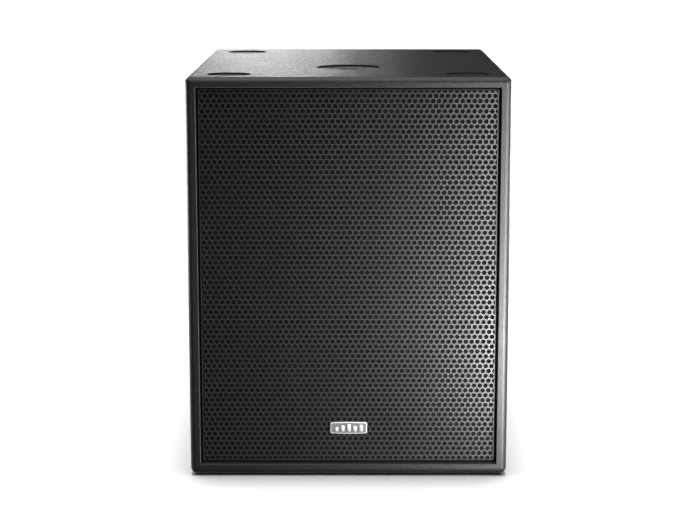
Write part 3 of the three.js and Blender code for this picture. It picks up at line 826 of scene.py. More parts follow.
def plate_sections(wide, high, radius, back, face, soften, middle):
    """Sections of a plate whose face has a rounded rim."""
    toward_back = 1 if back > face else -1
    rings = [(rounded_outline(wide, high, radius, 6, middle), back)]
    for turn in (0, pi / 6, pi / 3, pi / 2):
        less, down = soften * (1 - cos(turn)), soften * (1 - sin(turn))
        outline = rounded_outline(wide - 2 * less, high - 2 * less, radius - less, 6, middle)
        rings.append((outline, face + toward_back * down))
    return rings


# %% Handle cups and grips
CUP_Y, CUP_Z = 200 * MM, 100 * MM
cup_floor = high.x - 55 * MM


def handle_body(side):
    def ring(less, radius, x):
        wide, tall = CUP_Y - 2 * less * MM, CUP_Z - 2 * less * MM
        outline = rounded_outline(wide, tall, radius * MM, 6, (HANDLE.y, HANDLE.z))
        return outline, side * x

    def draw(bm):
        seat = high.x - 3 * MM
        lofted(bm, [
            ring(-1, 16, cup_floor - 2.6 * MM), ring(-2.5, 19, cup_floor + 1 * MM),
            ring(-3, 20, seat), ring(-20, 16, seat), ring(-20, 16, handle_face - 0.9 * MM),
            ring(-19.7, 15.7, handle_face - 0.3 * MM), ring(-19, 15, handle_face),
            ring(-2.6, 19.6, handle_face), ring(-1, 18, handle_face - 0.7 * MM),
            ring(0, 17, handle_face - 2.6 * MM), ring(1.5, 16, cup_floor + 9 * MM),
            ring(3.5, 15, cup_floor + 3 * MM), ring(9, 11, cup_floor),
        ], "X")
    return draw


FLANGE_SPOTS = [(y * 108 * MM, z * 58 * MM) for y in (-1, 1) for z in (-1, 1)]
FLANGE_SPOTS += [(0, -60 * MM), (0, 60 * MM)]


def flange_pockets(side):
    levels = side * (handle_face - 2.2 * MM), side * (high.x + PAST)
    return [shape(pushed, rounded_outline(11 * MM, 11 * MM, 5.45 * MM, 6,
                                          (HANDLE.y + dy, HANDLE.z + dz)), *levels, "X")
            for dy, dz in FLANGE_SPOTS]


def grip_bar(bm, side):
    """A bar with a swell where the fingers go and a flare where it meets the cup."""
    x, z = side * (high.x - 13 * MM), HANDLE.z + 12 * MM
    half = CUP_Y / 2
    sections = []
    for i in range(25):
        along = -1 + i / 12
        flare = max(0, abs(along) - 0.86) / 0.14
        swell = 0.6 * cos(along * pi / 2)
        wide, tall = (21 + swell + 3 * flare ** 2) * MM, (23 + 2 * swell + 3 * flare ** 2) * MM
        sections.append((rounded_outline(wide, tall, 9.5 * MM, 5, (x, z)),
                         HANDLE.y + along * half))
    lofted(bm, sections, "Y")


for name, side in (("left", -1), ("right", 1)):
    node = f"handle_{name}"
    cup = finish(carve(handle_body(side), flange_pockets(side)), f"{name}_handle_cup",
                 HANDLE_PLASTIC, node, smooth=40, outward=False)
    bm = bmesh.new()
    grip_bar(bm, side)
    grip = finish(bm, f"{name}_handle_grip", RUBBER, node, smooth=60)
    spots = [Vector((side * (handle_face - 0.5 * MM), HANDLE.y + dy, HANDLE.z + dz))
             for dy, dz in FLANGE_SPOTS]
    set_screws(f"{name}_handle_screws", HEX_SCREW, spots, "+X" if side > 0 else "-X",
               BLACK_SCREW)
    print(name, "handle faces:", len(cup.data.polygons), len(grip.data.polygons))
# %% [markdown]
# ## The amplifier's face
# The back of the cabinet carries a steel plate with everything the user touches. The
# plate and its cut-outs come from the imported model, since a flat punched plate needs
# no more shape. Ten screws hold it, and fine printed rings mark the travel of the
# knobs. The print is real geometry a tenth of a millimetre thick, so it stays sharp.

# %% Plate, screws and print
PRINT = moulded("pale_print", (0.62, 0.63, 0.62), 0.55, 1500, 0.00002)
face_y = amp_hi.y


def dress(material, *nodes):
    """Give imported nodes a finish."""
    for node in nodes:
        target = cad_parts[node]
        for slot in target.material_slots:
            slot.material = material
    print(material.name, "on", *nodes)


dress(PLATE_COAT, "amp_panel")
edge = 8 * MM
spots = [(x, z) for x in (amp_lo.x + edge, amp_hi.x - edge)
         for z in (amp_lo.z + edge, amp_mid.z - 62 * MM, amp_mid.z + 62 * MM, amp_hi.z - edge)]
spots += [(0, amp_lo.z + edge), (0, amp_hi.z - edge)]
set_screws("amp_plate_screws", PAN_SCREW, [Vector((x, face_y + 2 * MM, z)) for x, z in spots],
           "+Y", BLACK_SCREW)


def at(centre, x, y, z):
    """A point in millimetres from a centre, with y counted from the plate's face."""
    return Vector((centre.x + x * MM, face_y + y * MM, centre.z + z * MM))


def turned_at(bm, centre, points, steps=48):
    """Turn a profile in millimetres, with its depth counted from the plate's face."""
    turned(bm, mm(points, face_y), (centre.x, 0, centre.z), "Y", steps)


def tick(bm, centre, angle, inner, outer, wide):
    """One printed tick, pointing out from the centre of a knob."""
    verts = box(bm, (-wide / 2, 0, inner), (wide / 2, 0.1 * MM, outer))
    turn = Matrix.Translation((centre.x, face_y, centre.z)) @ Matrix.Rotation(angle, 4, "Y")
    bmesh.ops.transform(bm, verts=verts, matrix=turn)


bm = bmesh.new()
for knob in ("level_knob", "crossover_knob"):
    centre = middle_of(knob)
    for i in range(11):
        long = 3.2 if i in (0, 5, 10) else 2
        tick(bm, centre, radians(-145 + 29 * i), 13 * MM, (13 + long) * MM, 0.7 * MM)
SOCKETS = ["input_socket_1", "input_socket_2", "link_socket_1", "link_socket_2"]
for node, drop in [*((socket, 19) for socket in SOCKETS), ("polarity_button", 9),
                   ("power_switch_frame", 20)]:
    centre = middle_of(node)
    box(bm, at(centre, -9, 0, -drop - 0.4), at(centre, 9, 0.1, 0.4 - drop))
marks = finish(bm, "printed_marks", PRINT, merge=0)
print("printed marks faces:", len(marks.data.polygons))

# %% [markdown]
# ## Heat sink
# The sink is an aluminium extrusion, so it is made as one: half a fin is drawn with its
# rounded tip and the fillet at its root, the outline repeats it for every fin, and the
# whole comb is pushed along its length.

# %% Heat sink
sink_lo, sink_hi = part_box("heat_sink")
FINS, FIN, FIN_PITCH, TIP_RADIUS, FILLET = 22, 2 * MM, 10 * MM, 0.75 * MM, 0.7 * MM
root = sink_lo.y + 3 * MM
comb = [(sink_lo.x, sink_lo.y), (sink_lo.x, root)]
for i in range(FINS):
    x, tip = (i - (FINS - 1) / 2) * FIN_PITCH, sink_hi.y - TIP_RADIUS
    comb += [(x - FIN / 2 - FILLET, root), (x - FIN / 2, root + FILLET)]
    comb += [(x - TIP_RADIUS * cos(a * pi / 4), tip + TIP_RADIUS * sin(a * pi / 4))
             for a in range(5)]
    comb += [(x + FIN / 2, root + FILLET), (x + FIN / 2 + FILLET, root)]
comb += [(sink_hi.x, root), (sink_hi.x, sink_lo.y)]
comb = [point for i, point in enumerate(comb) if i == 0 or
        (Vector(point) - Vector(comb[i - 1])).length > 0.05 * MM]
bm = bmesh.new()
pushed(bm, comb, sink_lo.z, sink_hi.z, "Z")
ANODISED = brushed("black_anodised_fins", (0.020, 0.021, 0.022), 0.36, (2400, 2400, 30), 0.4)
heat_sink = finish(bm, "heat_sink_extrusion", ANODISED, "heat_sink", smooth=50)
print("heat sink faces:", len(heat_sink.data.polygons))

# %% [markdown]
# ## Knobs
# A knob is turned, and its grip is fluted. The flutes come from a loft whose outline
# has a wavy radius, which keeps the top round and smooth. Each knob rides on its own
# body, and so does its pointer, which is what shows that the knob has turned.

# %% Knobs
FLUTES, ROUND = 18, 144


def fluted(centre, radius, depth):
    """A circle whose radius dips by a depth at every flute."""
    turns = [2 * pi * i / ROUND for i in range(ROUND)]
    radii = [radius - depth * (0.5 + 0.5 * cos(FLUTES * turn)) for turn in turns]
    return [(centre.x + r * cos(turn), centre.z + r * sin(turn))
            for r, turn in zip(radii, turns)]


for name in ("level_knob", "crossover_knob"):
    foot, tip = (corner.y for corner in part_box(name))
    centre = middle_of(name)
    skirt = mm([(3, 0.6), (10.2, 0.6), (10.5, 1), (10.5, 2), (10, 2.4), (7, 2.9), (0, 2.9)],
               face_y)
    bm = bmesh.new()
    turned(bm, [(0, foot), (3 * MM, foot), *skirt], (centre.x, 0, centre.z), "Y", 48)
    grip = [(8.6, 0, face_y, 2.7), (8.6, 0.3, face_y, 3.6), (8.4, 0.7, face_y, 5),
            (8.2, 0.7, tip, -2.4), (8, 0.3, tip, -1), (7.5, 0, tip, -0.25),
            (6.9, 0, tip, -0.1), (6, 0, tip, -0.5)]
    lofted(bm, [(fluted(centre, radius * MM, depth * MM), level + rise * MM)
                for radius, depth, level, rise in grip])
    cap = finish(bm, f"{name}_cap", KNOB_PLASTIC, name, name, smooth=40)
    bm = bmesh.new()
    rounded_box(bm, (centre.x - 0.6 * MM, tip - 0.9 * MM, centre.z + 1.5 * MM),
                (centre.x + 0.6 * MM, tip - 0.05 * MM, centre.z + 7.2 * MM), 0.15 * MM)
    finish(bm, f"{name}_pointer", PRINT, name, name)
    print(name, "faces:", len(cap.data.polygons))

# %% [markdown]
# ## Signal sockets
# Two inputs take a plug and two links pass the signal on. Both kinds share a flange
# with a soft rim, two screws and a barrel. An input's barrel holds a core with three
# contact holes and a groove for the plug's shell. A link's barrel is open, with three
# gold pins standing in it.

# %% Sockets
def is_input(node):
    return node.startswith("input")


def socket_flange(node, centre):
    plate = shape(lofted, plate_sections(26 * MM, 31 * MM, 3 * MM, face_y + 0.3 * MM,
                                         face_y + 2.3 * MM, 0.5 * MM, (centre.x, centre.z)))
    mouth = shape(turned_at, centre, [(0, -10), (9.8, -10), (9.8, 1.6), (10.6, 2.4),
                                      (10.6, 10), (0, 10)])
    latch_slot = shape(box, at(centre, -3.2, -10, 11.2), at(centre, 3.2, 10, 14.4))
    cuts = [mouth, latch_slot] if is_input(node) else [mouth]
    finish(carve(plate, cuts), f"{node}_flange", NICKEL, node,
           outward=False, smooth=40)


def socket_core(node, centre):
    """The insulator inside an input, with a mouth for each contact."""
    core = shape(turned_at, centre, [(0, -14), (7.8, -14), (7.8, 1), (7.2, 1.7), (0, 1.7)])
    contact = [(0, -10), (1.3, -10), (1.3, 1), (2, 2), (0, 2)]
    holes = [shape(turned_at, at(centre, u, 0, v), contact, 16)
             for u, v in ((-3.5, 0), (3.5, 0), (0, -4))]
    finish(carve(core, holes), f"{node}_core", SOCKET_PLASTIC, node,
           outward=False)


def socket_pins(node, centre):
    """Three gold pins inside a link."""
    bm = bmesh.new()
    pin = [(0, -16), (1.2, -16), (1.2, -3), (0.8, -2.2), (0, -2)]
    for u, v in ((-4, 0), (4, 0), (0, -4.6)):
        turned_at(bm, at(centre, u, 0, v), pin, 20)
    finish(bm, f"{node}_pins", GOLD, node)


for node in SOCKETS:
    centre, inner = middle_of(node), 9.8 if is_input(node) else 9.4
    bm = bmesh.new()
    turned_at(bm, centre, [(0, -23), (11.6, -23), (11.6, 0.5), (inner, 0.5), (inner, -16),
                           (0, -16)])
    finish(bm, f"{node}_barrel", SOCKET_PLASTIC, node, smooth=40)
    (socket_core if is_input(node) else socket_pins)(node, centre)
    socket_flange(node, centre)
    places = [at(centre, side * 9.9, 3.1, side * -12.2) for side in (-1, 1)]
    set_screws(f"{node}_screws", SMALL_SCREW, places, "+Y", BLACK_SCREW)
print("sockets ready")

# %% [markdown]
# ## Latches, push button and lamp strip
# A latch is a pressed steel tab, the polarity button is a turned cap with a dished top,
# and the lamps sit behind a smoked strip. Each moving piece rides on its own body.

# %% Latches, button and lamps
def plate_over(node, radius, soften):
    """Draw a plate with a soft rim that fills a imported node's box."""
    (lo, hi), middle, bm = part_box(node), middle_of(node), bmesh.new()
    lofted(bm, plate_sections(hi.x - lo.x, hi.z - lo.z, radius, lo.y, hi.y, soften,
                              (middle.x, middle.z)))
    return bm


for node in ("input_latch_1", "input_latch_2"):
    finish(plate_over(node, 0.8 * MM, 0.5 * MM), f"{node}_tab", NICKEL, node,
           node, smooth=40)

foot, top = (corner.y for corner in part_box("polarity_button"))
centre = middle_of("polarity_button")
dished = mm([(4.5, -0.8), (4.2, -0.2), (3.7, 0), (2.6, -0.35), (0, -0.7)], top)
bm = bmesh.new()
turned(bm, [(0, foot), (4.5 * MM, foot), *dished], (centre.x, 0, centre.z), "Y", 40)
finish(bm, "polarity_button_cap", KNOB_PLASTIC, "polarity_button",
       "polarity_button", smooth=40)

SMOKED = moulded("smoked_lens", (0.010, 0.008, 0.008), 0.12, 200, 0.00001)
finish(plate_over("lamp_window", 2 * MM, 0.4 * MM), "lamp_strip", SMOKED,
       "lamp_window", smooth=40)


def lamp_glow(name, tone):
    """A lit lens whose colour and glow vary a little with noise."""
    recipe = Recipe(name)
    cloud = recipe.noise(900, detail=1)
    colour = recipe.blend(cloud, tone, tuple(c * 0.6 for c in tone))
    return recipe.shader(colour, 0.15 + cloud * 0.05, Emission_Color=colour,
                         Emission_Strength=1.2)


GREEN = lamp_glow("green_lamp", (0.05, 0.75, 0.16))
AMBER = lamp_glow("amber_lamp", (0.9, 0.4, 0.04))
DULL_RED = moulded("unlit_red_lamp", (0.20, 0.012, 0.010), 0.2, 300, 0.00001)
LAMPS = [("power_lamp", GREEN), ("signal_lamp", GREEN), ("protect_lamp", AMBER),
         ("limit_lamp", DULL_RED)]
lo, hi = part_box("lamp_window")
dome = mm([(0, -0.4), (1.6, -0.4), (1.6, -0.05), (1.3, 0.35), (0.7, 0.6), (0, 0.7)], hi.y)
for i, (name, glow) in enumerate(LAMPS):
    bm = bmesh.new()
    turned(bm, dome, (lo.x + (5 + 10 * i) * MM, 0, middle_of("lamp_window").z), "Y", 24)
    finish(bm, name, glow, smooth=60)
print("lamps ready")

# %% [markdown]
# ## Mains switch and inlet
# The rocker's face is two slopes that meet in a shallow valley, lofted across the
# switch so that its long sides are soft. It rides on its own body. The inlet is a
# flanged moulding with the usual six-sided mouth and three flat blades.

# %% Switch and inlet
switch = middle_of("power_switch_frame")
block = shape(lofted, plate_sections(21 * MM, 32 * MM, 2 * MM, face_y + 0.3 * MM,
                                     face_y + 2.3 * MM, 0.6 * MM, (switch.x, switch.z)))
pocket = shape(box, at(switch, -6.8, -10, -12.5), at(switch, 6.8, 10, 12.5))
finish(carve(block, [pocket]), "power_switch_bezel", SOCKET_PLASTIC,
       "power_switch_frame", outward=False, smooth=40)
bm = bmesh.new()
for x0, x1, z0, z1 in ((-8.2, -6.8, -13.7, 13.7), (6.8, 8.2, -13.7, 13.7),
                       (-6.8, 6.8, -13.7, -12.5), (-6.8, 6.8, 12.5, 13.7)):
    box(bm, at(switch, x0, -12.9, z0), at(switch, x1, 0.5, z1))
box(bm, at(switch, -8.2, -19, -13.7), at(switch, 8.2, -12.9, 13.7))
finish(bm, "power_switch_shell", SOCKET_PLASTIC, "power_switch_frame",
       merge=0)
rocker_lo, rocker_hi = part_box("power_rocker")


def rocker_outline(less):
    """Side view of the rocker as (y, z), shrunk a little towards its ends."""
    points = [(1.5, 0), (2.2, 4), (2.9, 8), (3.4, 11), (2.6, 11.6), (1, 11.8), (-2, 11.8),
              (-5, 10.4), (-5, -10.4), (-2, -11.8), (1, -11.8), (2.6, -11.6), (3.4, -11),
              (2.9, -8), (2.2, -4)]
    return [(face_y + (v - less * (v > 0)) * MM, switch.z + w * (1 - less * 0.04) * MM)
            for v, w in points]


bm = bmesh.new()
half = (rocker_hi.x - rocker_lo.x) / 2
lofted(bm, [(rocker_outline(less), switch.x + side * (half - inset_by * MM))
            for side, less, inset_by in ((-1, 0.5, 0), (-1, 0.15, 0.3), (-1, 0, 0.8),
                                         (1, 0, 0.8), (1, 0.15, 0.3), (1, 0.5, 0))], "X")
GLOSS_BLACK = moulded("gloss_black_plastic", (0.010, 0.010, 0.011), 0.16, 500, 0.00003)
finish(bm, "power_rocker_cap", GLOSS_BLACK, "power_rocker",
       "power_rocker", smooth=30)
bm = bmesh.new()
rounded_box(bm, at(switch, -0.45, 2.1, 5), at(switch, 0.45, 2.95, 8), 0.1 * MM)
finish(bm, "power_rocker_mark", PRINT, "power_rocker", "power_rocker")

inlet = middle_of("mains_inlet")


def mains_mouth(deep):
    """The six-sided mouth, cut to a depth in millimetres behind the plate's face."""
    wide, high, corner = 12.2, 8.2, 4.7
    outline = mm([(-wide, -high), (wide, -high), (wide, high - corner), (wide - corner, high),
                  (corner - wide, high), (-wide, high - corner)], inlet.z, inlet.x)
    return shape(pushed, outline, face_y - deep * MM, face_y + PAST)


flange = shape(lofted, plate_sections(50 * MM, 25 * MM, 5 * MM, face_y + 0.3 * MM,
                                      face_y + 3 * MM, 0.9 * MM, (inlet.x, inlet.z)))
shell = shape(pushed, rounded_outline(27.6 * MM, 20.4 * MM, 2 * MM, 4, (inlet.x, inlet.z)),
              face_y - 19 * MM, face_y + 1 * MM)
finish(carve(flange, [mains_mouth(10)]), "mains_inlet_flange", SOCKET_PLASTIC,
       "mains_inlet", outward=False, smooth=40)
finish(carve(shell, [mains_mouth(17)]), "mains_inlet_shell", SOCKET_PLASTIC,
       "mains_inlet", outward=False)
bm = bmesh.new()
for u, v in ((-7, -1), (7, -1), (0, 3)):
    rounded_box(bm, at(inlet, u - 1, -17.5, v - 2), at(inlet, u + 1, -2, v + 2), 0.4 * MM)
finish(bm, "mains_inlet_blades", NICKEL, "mains_inlet")
set_screws("mains_inlet_screws", SMALL_SCREW, [at(inlet, side * 20, 3.8, 0) for side in (-1, 1)],
           "+Y", ZINC)
print("mains side ready")

# %% [markdown]
# ## Cone, dust cap and voice coil
# Behind the grille sits the woofer. Its moving parts are turned shapes: a ribbed paper
# cone, a domed cap glued over the coil, and a coil of wire on a thin former. They all
# ride on the cone's body. Ribs in the profile stiffen the paper, as on the real one.

# %% Moving parts of the woofer
WOOFER = middle_of("woofer_cone")
AXIS = (0, 0, WOOFER.z)


def pulp_paper(name, tone):
    """Pressed paper pulp: short fibres and a broad stain."""
    recipe = Recipe(name)
    fibres = recipe.noise(1, detail=5, where=recipe.place((500, 500, 160)))
    stain = recipe.noise(12, detail=4)
    colour = recipe.blend(fibres * 0.6 + stain * 0.4, tone, tuple(c * 1.7 for c in tone))
    normal = recipe.bump(fibres, 0.0003, 0.5)
    return recipe.shader(colour, 0.78 + fibres * 0.12, normal, Specular_IOR_Level=0.25)


def woven_cloth(name, tone, threads=900):
    """Treated cloth: two crossing sets of threads under a dull resin."""
    recipe = Recipe(name)
    weave = (recipe.bands("X", threads / 6.28, distortion=0.6)
             * recipe.bands("Z", threads / 6.28, distortion=0.6))
    soft = recipe.noise(60, detail=3)
    colour = recipe.blend(weave * 0.7 + soft * 0.3, tone, tuple(c * 1.8 for c in tone))
    return recipe.shader(colour, 0.62 + soft * 0.15, recipe.bump(weave, 0.0002, 0.6))


def wound_wire():
    recipe = Recipe("wound_copper")
    turns = recipe.bands("Y", 560.0)
    stain = recipe.noise(80, detail=3)
    colour = recipe.blend(turns * 0.4 + stain * 0.4, (0.62, 0.24, 0.10), (0.30, 0.10, 0.04))
    return recipe.shader(colour, 0.28 + stain * 0.1, recipe.bump(turns, 0.0002, 0.8),
                         Metallic=1.0)


PAPER = pulp_paper("black_pulp_paper", (0.016, 0.016, 0.017))
CLOTH = woven_cloth("treated_cloth", (0.020, 0.019, 0.018))
SPIDER_CLOTH = woven_cloth("amber_spider_cloth", (0.34, 0.20, 0.07), 700)
COPPER = wound_wire()


def spun(name, profile, material, node, body="cabinet", steps=96, smooth=45):
    """A turned piece on the woofer's axis."""
    bm = bmesh.new()
    turned(bm, mm(profile), AXIS, "Y", steps)
    return finish(bm, name, material, node, body, smooth)


def cone_wall(lift):
    """The flared wall of the cone with three pressed rings, as (radius, y)."""
    points = []
    for i in range(49):
        r = 53.5 + (178 - 53.5) * i / 48
        flare = -230.2 - 61 * ((r - 51.5) / 126.5) ** 0.86
        rib = sum(0.9 * max(0, 1 - abs(r - at) / 3.2) for at in (84, 114, 144))
        points.append((r, flare - rib + lift))
    return points


neck = [(53.4, -221), (51.5, -221), (51.5, -229.5)]
lip = [(186, -292), (186, -290.4), (179, -289.4)]
cone = spun("ribbed_cone", neck + cone_wall(0) + lip + cone_wall(1.7)[::-1][1:], PAPER,
            "woofer_cone", "cone_assembly")
cap = [(72 * i / 12, -263 + 16.5 * (i / 12) ** 2) for i in range(13)]
spun("domed_dust_cap", cap + [(r, y + 1.7) for r, y in reversed(cap)], PAPER,
     "woofer_dust_cap", "cone_assembly")
spun("wound_voice_coil",
     [(50.2, -243), (51.2, -243), (51.2, -177), (52.2, -176.6), (52.2, -149.4),
      (52, -149), (50.2, -149)], COPPER, "woofer_voice_coil", "cone_assembly", 72)
print("cone faces:", len(cone.data.polygons))

# %% [markdown]
# ## Surround and spider
# Two soft rings carry the cone. The surround is cloth pressed into two rolls, and the
# spider is a corrugated disc near the coil. Each is fixed to the frame outside and to
# the cone inside, so its points follow one or the other by how far out they lie.

# %% Surround and spider
def blend_by_radius(piece, inner, outer):
    """Follow the cone inside the inner radius and the cabinet outside the outer one."""
    piece.parent = None
    start, end = Vector((outer, 0, WOOFER.z)), Vector((inner, 0, WOOFER.z))
    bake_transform(piece, "cabinet", "cone_assembly", start=start, end=end)
    weights = piece.data.attributes["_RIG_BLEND"].data
    for vert, weight in zip(piece.data.vertices, weights):
        radius = Vector((vert.co.x, 0, vert.co.z - WOOFER.z)).length
        share = min(1, max(0, (outer - radius) / (outer - inner)))
        weight.value = share * share * (3 - 2 * share)


def lowered(profile, thick):
    """The other face of a sheet, walked back the other way."""
    return [(r, y + thick) for r, y in reversed(profile)]


ROLLS, STEPS = 2, 12
front = [(187.5 + 15.5 * i / (ROLLS * STEPS), -294.6 - 4.6 * abs(sin(pi * i / STEPS)))
         for i in range(ROLLS * STEPS + 1)]
surround = spun("rolled_surround", [(179.2, -293.9), *front, (211.6, -294.8), (212, -293.6),
                                    *lowered(front, 1.2), (179.2, -292.5)],
                CLOTH, "woofer_surround", steps=120, smooth=60)
blend_by_radius(surround, 188 * MM, 203 * MM)
waves = []
for i in range(61):
    r = 56 + (98 - 56) * i / 60
    waves.append((r, -202.2 - 2.3 * sin(pi * (r - 56) / 6) * min(1, (r - 56) / 6)))
spider = spun("corrugated_spider", [(51.6, -202.2), *waves, (111, -201.9), (111, -200.5),
                                    *lowered(waves, 0.8), (51.6, -200.9)],
              SPIDER_CLOTH, "woofer_spider", smooth=60)
blend_by_radius(spider, 57 * MM, 97 * MM)
print("surround and spider faces:", len(surround.data.polygons), len(spider.data.polygons))

# %% [markdown]
# ## The woofer's frame and magnet
# The basket is a casting with a rough skin, the magnet is ferrite, and the plates on
# both sides of it are plated steel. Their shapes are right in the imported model, so
# they stay and only take a finish. The bolts are replaced, because their sockets and
# soft rims are what the eye looks for.

# %% Frame, magnet and bolts
def cast_metal(name, tone, rough):
    recipe = Recipe(name)
    skin = recipe.noise(420, detail=6, rough=0.7)
    broad = recipe.noise(20, detail=3)
    colour = recipe.blend(broad * 0.6 + skin * 0.3, tone, tuple(c * 1.5 for c in tone))
    return recipe.shader(colour, rough + skin * 0.2, recipe.bump(skin, 0.0004, 0.6),
                         Metallic=0.35)


def ferrite_block():
    recipe = Recipe("ferrite")
    grain = recipe.cells(900).between(0.1, 0.8)
    broad = recipe.noise(18, detail=4)
    colour = recipe.blend(grain * 0.5 + broad * 0.5, (0.030, 0.031, 0.034), (0.060, 0.060, 0.063))
    return recipe.shader(colour, 0.5 + broad * 0.15, recipe.bump(grain, 0.0001, 0.4))


dress(cast_metal("cast_basket_coat", (0.030, 0.031, 0.032), 0.42), "woofer_basket")
dress(ferrite_block(), "woofer_magnet")
dress(ZINC, "woofer_top_plate", "woofer_back_plate")
dress(RUBBER, "woofer_gasket")
dress(SOCKET_PLASTIC, "woofer_terminals")
BOLT_HEAD = pattern("bolt_head", pan_head(5.5 * MM, 5.9 * MM), hex_drive(6 * MM, 2.8 * MM))
for node in [f"woofer_bolt_{i}" for i in range(1, 9)]:
    head, end = (corner.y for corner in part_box(node))
    centre = middle_of(node)
    bm = bmesh.new()
    bm.from_mesh(BOLT_HEAD)
    place = Matrix.Translation((centre.x, head, centre.z)) @ FACING["-Y"]
    bmesh.ops.transform(bm, verts=bm.verts[:], matrix=place)
    shank = [(0, head + 6 * MM), (2.9 * MM, head + 6 * MM), (2.9 * MM, end - 0.6 * MM),
             (2.3 * MM, end), (0, end)]
    turned(bm, shank, (centre.x, 0, centre.z), "Y", 20)
    finish(bm, f"{node}_machined", ZINC, node)
print("bolts ready")

# %% [markdown]
# ## Woodwork and everything behind the amplifier
# The baffle, the port boards and the frame round the amplifier are painted black,
# because they can be seen from outside. The brace is bare birch plywood. Its layers
# show on cut edges, so the finish stacks thin bands across the sheet's thickness, which
# here is the Y direction, and stretches the grain along the face.

# %% Woodwork
def bare_plywood():
    recipe = Recipe("bare_birch_plywood")
    grain = recipe.noise(1, detail=5, where=recipe.place((9, 300, 160)))
    stripe = recipe.bands("Y", 62.0, distortion=0.3, profile="TRI").between(0.35, 0.65)
    face = recipe.blend(grain, (0.62, 0.44, 0.25), (0.45, 0.29, 0.14))
    colour = recipe.blend(stripe * 0.35, face, (0.30, 0.18, 0.085))
    return recipe.shader(colour, 0.55 + grain * 0.15, recipe.bump(grain, 0.0002, 0.4))


def jacketed_cable():
    recipe = Recipe("cable_jacket")
    twist = recipe.noise(350, detail=2)
    colour = recipe.blend(twist, (0.020, 0.020, 0.021), (0.035, 0.035, 0.037))
    return recipe.shader(colour, 0.5 + twist * 0.1, recipe.bump(twist, 0.0001, 0.5))


def circuit_board():
    recipe = Recipe("circuit_board_lacquer")
    tracks = recipe.node("ShaderNodeTexBrick", {}, {"Vector": recipe.place(), "Scale": 60.0},
                         out=1)
    weave = recipe.noise(700, detail=2)
    bare = recipe.blend(weave, (0.010, 0.090, 0.040), (0.014, 0.120, 0.052))
    colour = recipe.blend(tracks * 0.6, bare, (0.030, 0.200, 0.085))
    return recipe.shader(colour, 0.32 + weave * 0.1, recipe.bump(tracks, 0.00004, 0.5))


def spangled_zinc():
    recipe = Recipe("spangled_zinc")
    flakes = recipe.cells(70)
    fine = recipe.noise(500, detail=2)
    colour = recipe.blend(flakes * 0.8 + fine * 0.1, (0.46, 0.47, 0.49), (0.68, 0.69, 0.70))
    return recipe.shader(colour, 0.30 + flakes * 0.25, recipe.bump(fine, 0.00002, 0.4),
                         Metallic=0.9)


dress(PAINT, "front_baffle", "port_shelf", "port_divider", "grille_cleat_left",
      "grille_cleat_right", "amp_mounting_frame")
dress(bare_plywood(), "window_brace")
dress(spangled_zinc(), "amp_chassis")
dress(circuit_board(), "amp_board")
dress(jacketed_cable(), "speaker_cable")

# %% [markdown]
# ## Damping mat
# A mat of wadding under the top calms the air in the box. It is a padded piece, fuller
# in the middle and thin at its edges, tacked down in a few places. A pressure
# simulation would only round it, so the crown, the tacks and the lumps are worked in
# by moving the points of a subdivided slab.

# %% Damping mat
def wadding_fibre():
    recipe = Recipe("grey_wadding")
    strands = recipe.noise(1, detail=6, rough=0.7, where=recipe.place((240, 900, 700)))
    lumps = recipe.noise(45, detail=3)
    colour = recipe.blend(strands * 0.6 + lumps * 0.4, (0.20, 0.20, 0.21), (0.42, 0.42, 0.43))
    return recipe.shader(colour, 0.92 + lumps * 0.05, recipe.bump(strands + lumps, 0.002, 0.7),
                         Sheen_Weight=0.3)


mat_lo, mat_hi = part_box("damping_mat")
mat_mid, mat_half = (mat_lo + mat_hi) / 2, (mat_hi - mat_lo) / 2
TACKS = [(u * 0.55, v * 0.5) for u in (-1, 0, 1) for v in (-1, 1)]
bm = bmesh.new()
bmesh.ops.create_cube(bm, size=2, matrix=Matrix.Diagonal((*mat_half, 1)))
bmesh.ops.subdivide_edges(bm, edges=bm.edges[:], cuts=39, use_grid_fill=True)
for vert in bm.verts:
    u, v, w = (vert.co[i] / mat_half[i] for i in range(3))
    edge_fall = (1 - abs(u) ** 6) * (1 - abs(v) ** 4)
    dimple = sum(0.45 * max(0, 1 - ((u - a) ** 2 * 7 + (v - b) ** 2) * 14) for a, b in TACKS)
    lump = 0.10 * noise.noise(vert.co * 32)
    flat_top = 1 if w > 0.999 else 0.30 + 0.62 * edge_fall ** 0.5 - dimple + lump * edge_fall
    pull = 1 - 0.035 * (1 - w * w) * (1 if abs(u) > 0.98 or abs(v) > 0.98 else 0)
    vert.co = Vector((vert.co.x * pull, vert.co.y * pull,
                      mat_half.z - (mat_half.z - vert.co.z) * min(1, flat_top)))
bmesh.ops.translate(bm, verts=bm.verts, vec=mat_mid)
mat = finish(bm, "damping_mat_wadding", wadding_fibre(), "damping_mat", smooth=80)
print("damping mat faces:", len(mat.data.polygons))

# %% [markdown]
# ## Floor and light
# The cabinet stands on a pale floor that runs out of sight. Dark paint shows only what
# it reflects, so the light decides how it reads. A large soft light on the right of
# the front draws the grille out of the dark and fades towards the left, with a small
# one below it. Three lights of growing width stand far behind on the left and skim the
# top. A strip lights each side and the back, and one more hangs over the front. The
# floor takes its light from the bright sky overhead and from a sun of its own.

# %% Floor
bm = bmesh.new()
bmesh.ops.create_grid(bm, x_segments=1, y_segments=1, size=60)
recipe = Recipe("pale_floor")
pale = recipe.blend(recipe.noise(0.8, detail=2), (0.44, 0.44, 0.44), (0.46, 0.46, 0.46))
floor = finish(bm, "studio_floor", recipe.shader(pale, 0.9))
floor.visible_diffuse = floor.visible_glossy = False

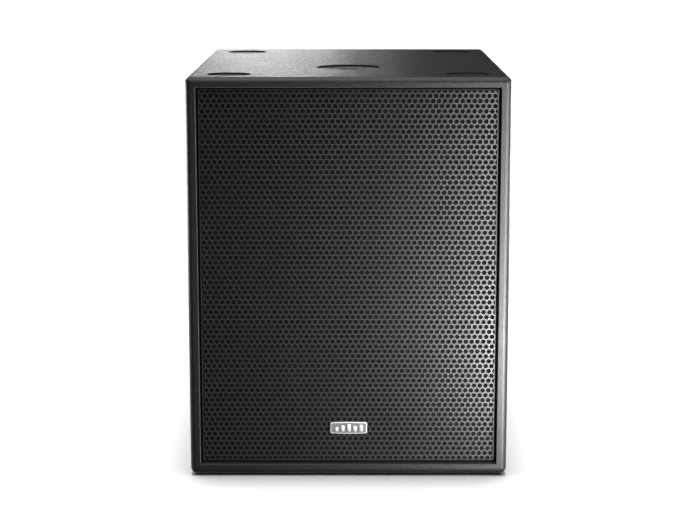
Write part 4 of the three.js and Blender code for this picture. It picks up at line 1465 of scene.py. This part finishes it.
# %% Sky
world = bpy.data.worlds.new("studio_sky")
bpy.context.scene.world = world
sky = Recipe("studio_sky", world)
direction = sky.node("ShaderNodeTexCoord", out="Generated")
up = sky.node("ShaderNodeSeparateXYZ", {}, [direction], out=2)
ahead = sky.node("ShaderNodeSeparateXYZ", {}, [direction], out=1)
ceiling = 2.95 * up.between(0.52, 0.95)
band = up.between(-0.9, -0.5) * (1 - up.between(-0.16, 0.03))
ground = band * (0.01 + ahead.between(-0.6, -0.1))
lit = ceiling + ground * 0.9 + 0.010
seen = sky.node("ShaderNodeLightPath", out="Is Camera Ray")
strength = lit * (1 - seen) + seen * 1.02
background = sky.node("ShaderNodeBackground", {}, {"Color": (1, 1, 1, 1), "Strength": strength})
sky.node("ShaderNodeOutputWorld", {}, {"Surface": background})

# %% Lights
def lights_only(name, state):
    """A collection of the floor alone, for a light to reach or to leave out."""
    group = bpy.data.collections.new(name)
    group.objects.link(floor)
    group.collection_objects[0].light_linking.link_state = state
    return group


def soft_light(name, place, target, size, watts):
    data = bpy.data.lights.new(name, "AREA")
    data.shape, data.size, data.size_y = "RECTANGLE", *size
    data.energy = watts
    light = linked(name, data)
    light.location = place
    aim = Vector(target) - Vector(place)
    light.rotation_euler = aim.to_track_quat("-Z", "Y").to_euler()
    light.visible_camera = False
    light.light_linking.receiver_collection = flagged


flagged = lights_only("flagged_from_softboxes", "EXCLUDE")
soft_light("front_right_softbox", (0.60, -0.86, 0.30), (0.34, -0.34, 0.44), (0.6, 0.66), 37)
soft_light("front_right_low_softbox", (0.48, -0.78, 0.10), (0.26, -0.34, 0.03), (0.36, 0.18), 11)
for name, wide, watts in [("core", 0.30, 4.1), ("middle", 0.56, 5.4), ("fringe", 0.95, 1.8)]:
    soft_light("back_left_" + name, (-0.32, 3.0, 0.95), (-0.14, 0.1, 0.69), (wide, 0.6), watts)
soft_light("left_side_strip", (-1.7, 0.6, 0.4), (-0.27, 0.1, 0.35), (1.0, 0.5), 34)
soft_light("right_side_strip", (1.7, 0.9, 0.4), (0.27, 0.1, 0.35), (1.0, 0.5), 30)
soft_light("rear_strip", (0.7, 2.1, 0.4), (0.0, 0.35, 0.33), (1.2, 0.5), 30)
soft_light("overhead_front_softbox", (-0.1, -1.1, 1.9), (0.0, -0.35, 0.55), (1.3, 0.5), 9)
sun = bpy.data.lights.new("overhead_floor_light", "SUN")
sun.energy, sun.angle = 4.9, radians(13)
overhead = linked("overhead_floor_light", sun)
overhead.rotation_euler = (radians(-3), 0, 0)
overhead.light_linking.receiver_collection = lights_only("lit_by_overhead", "INCLUDE")

# %% Finish
bpy.context.scene.view_settings.view_transform = "Standard"
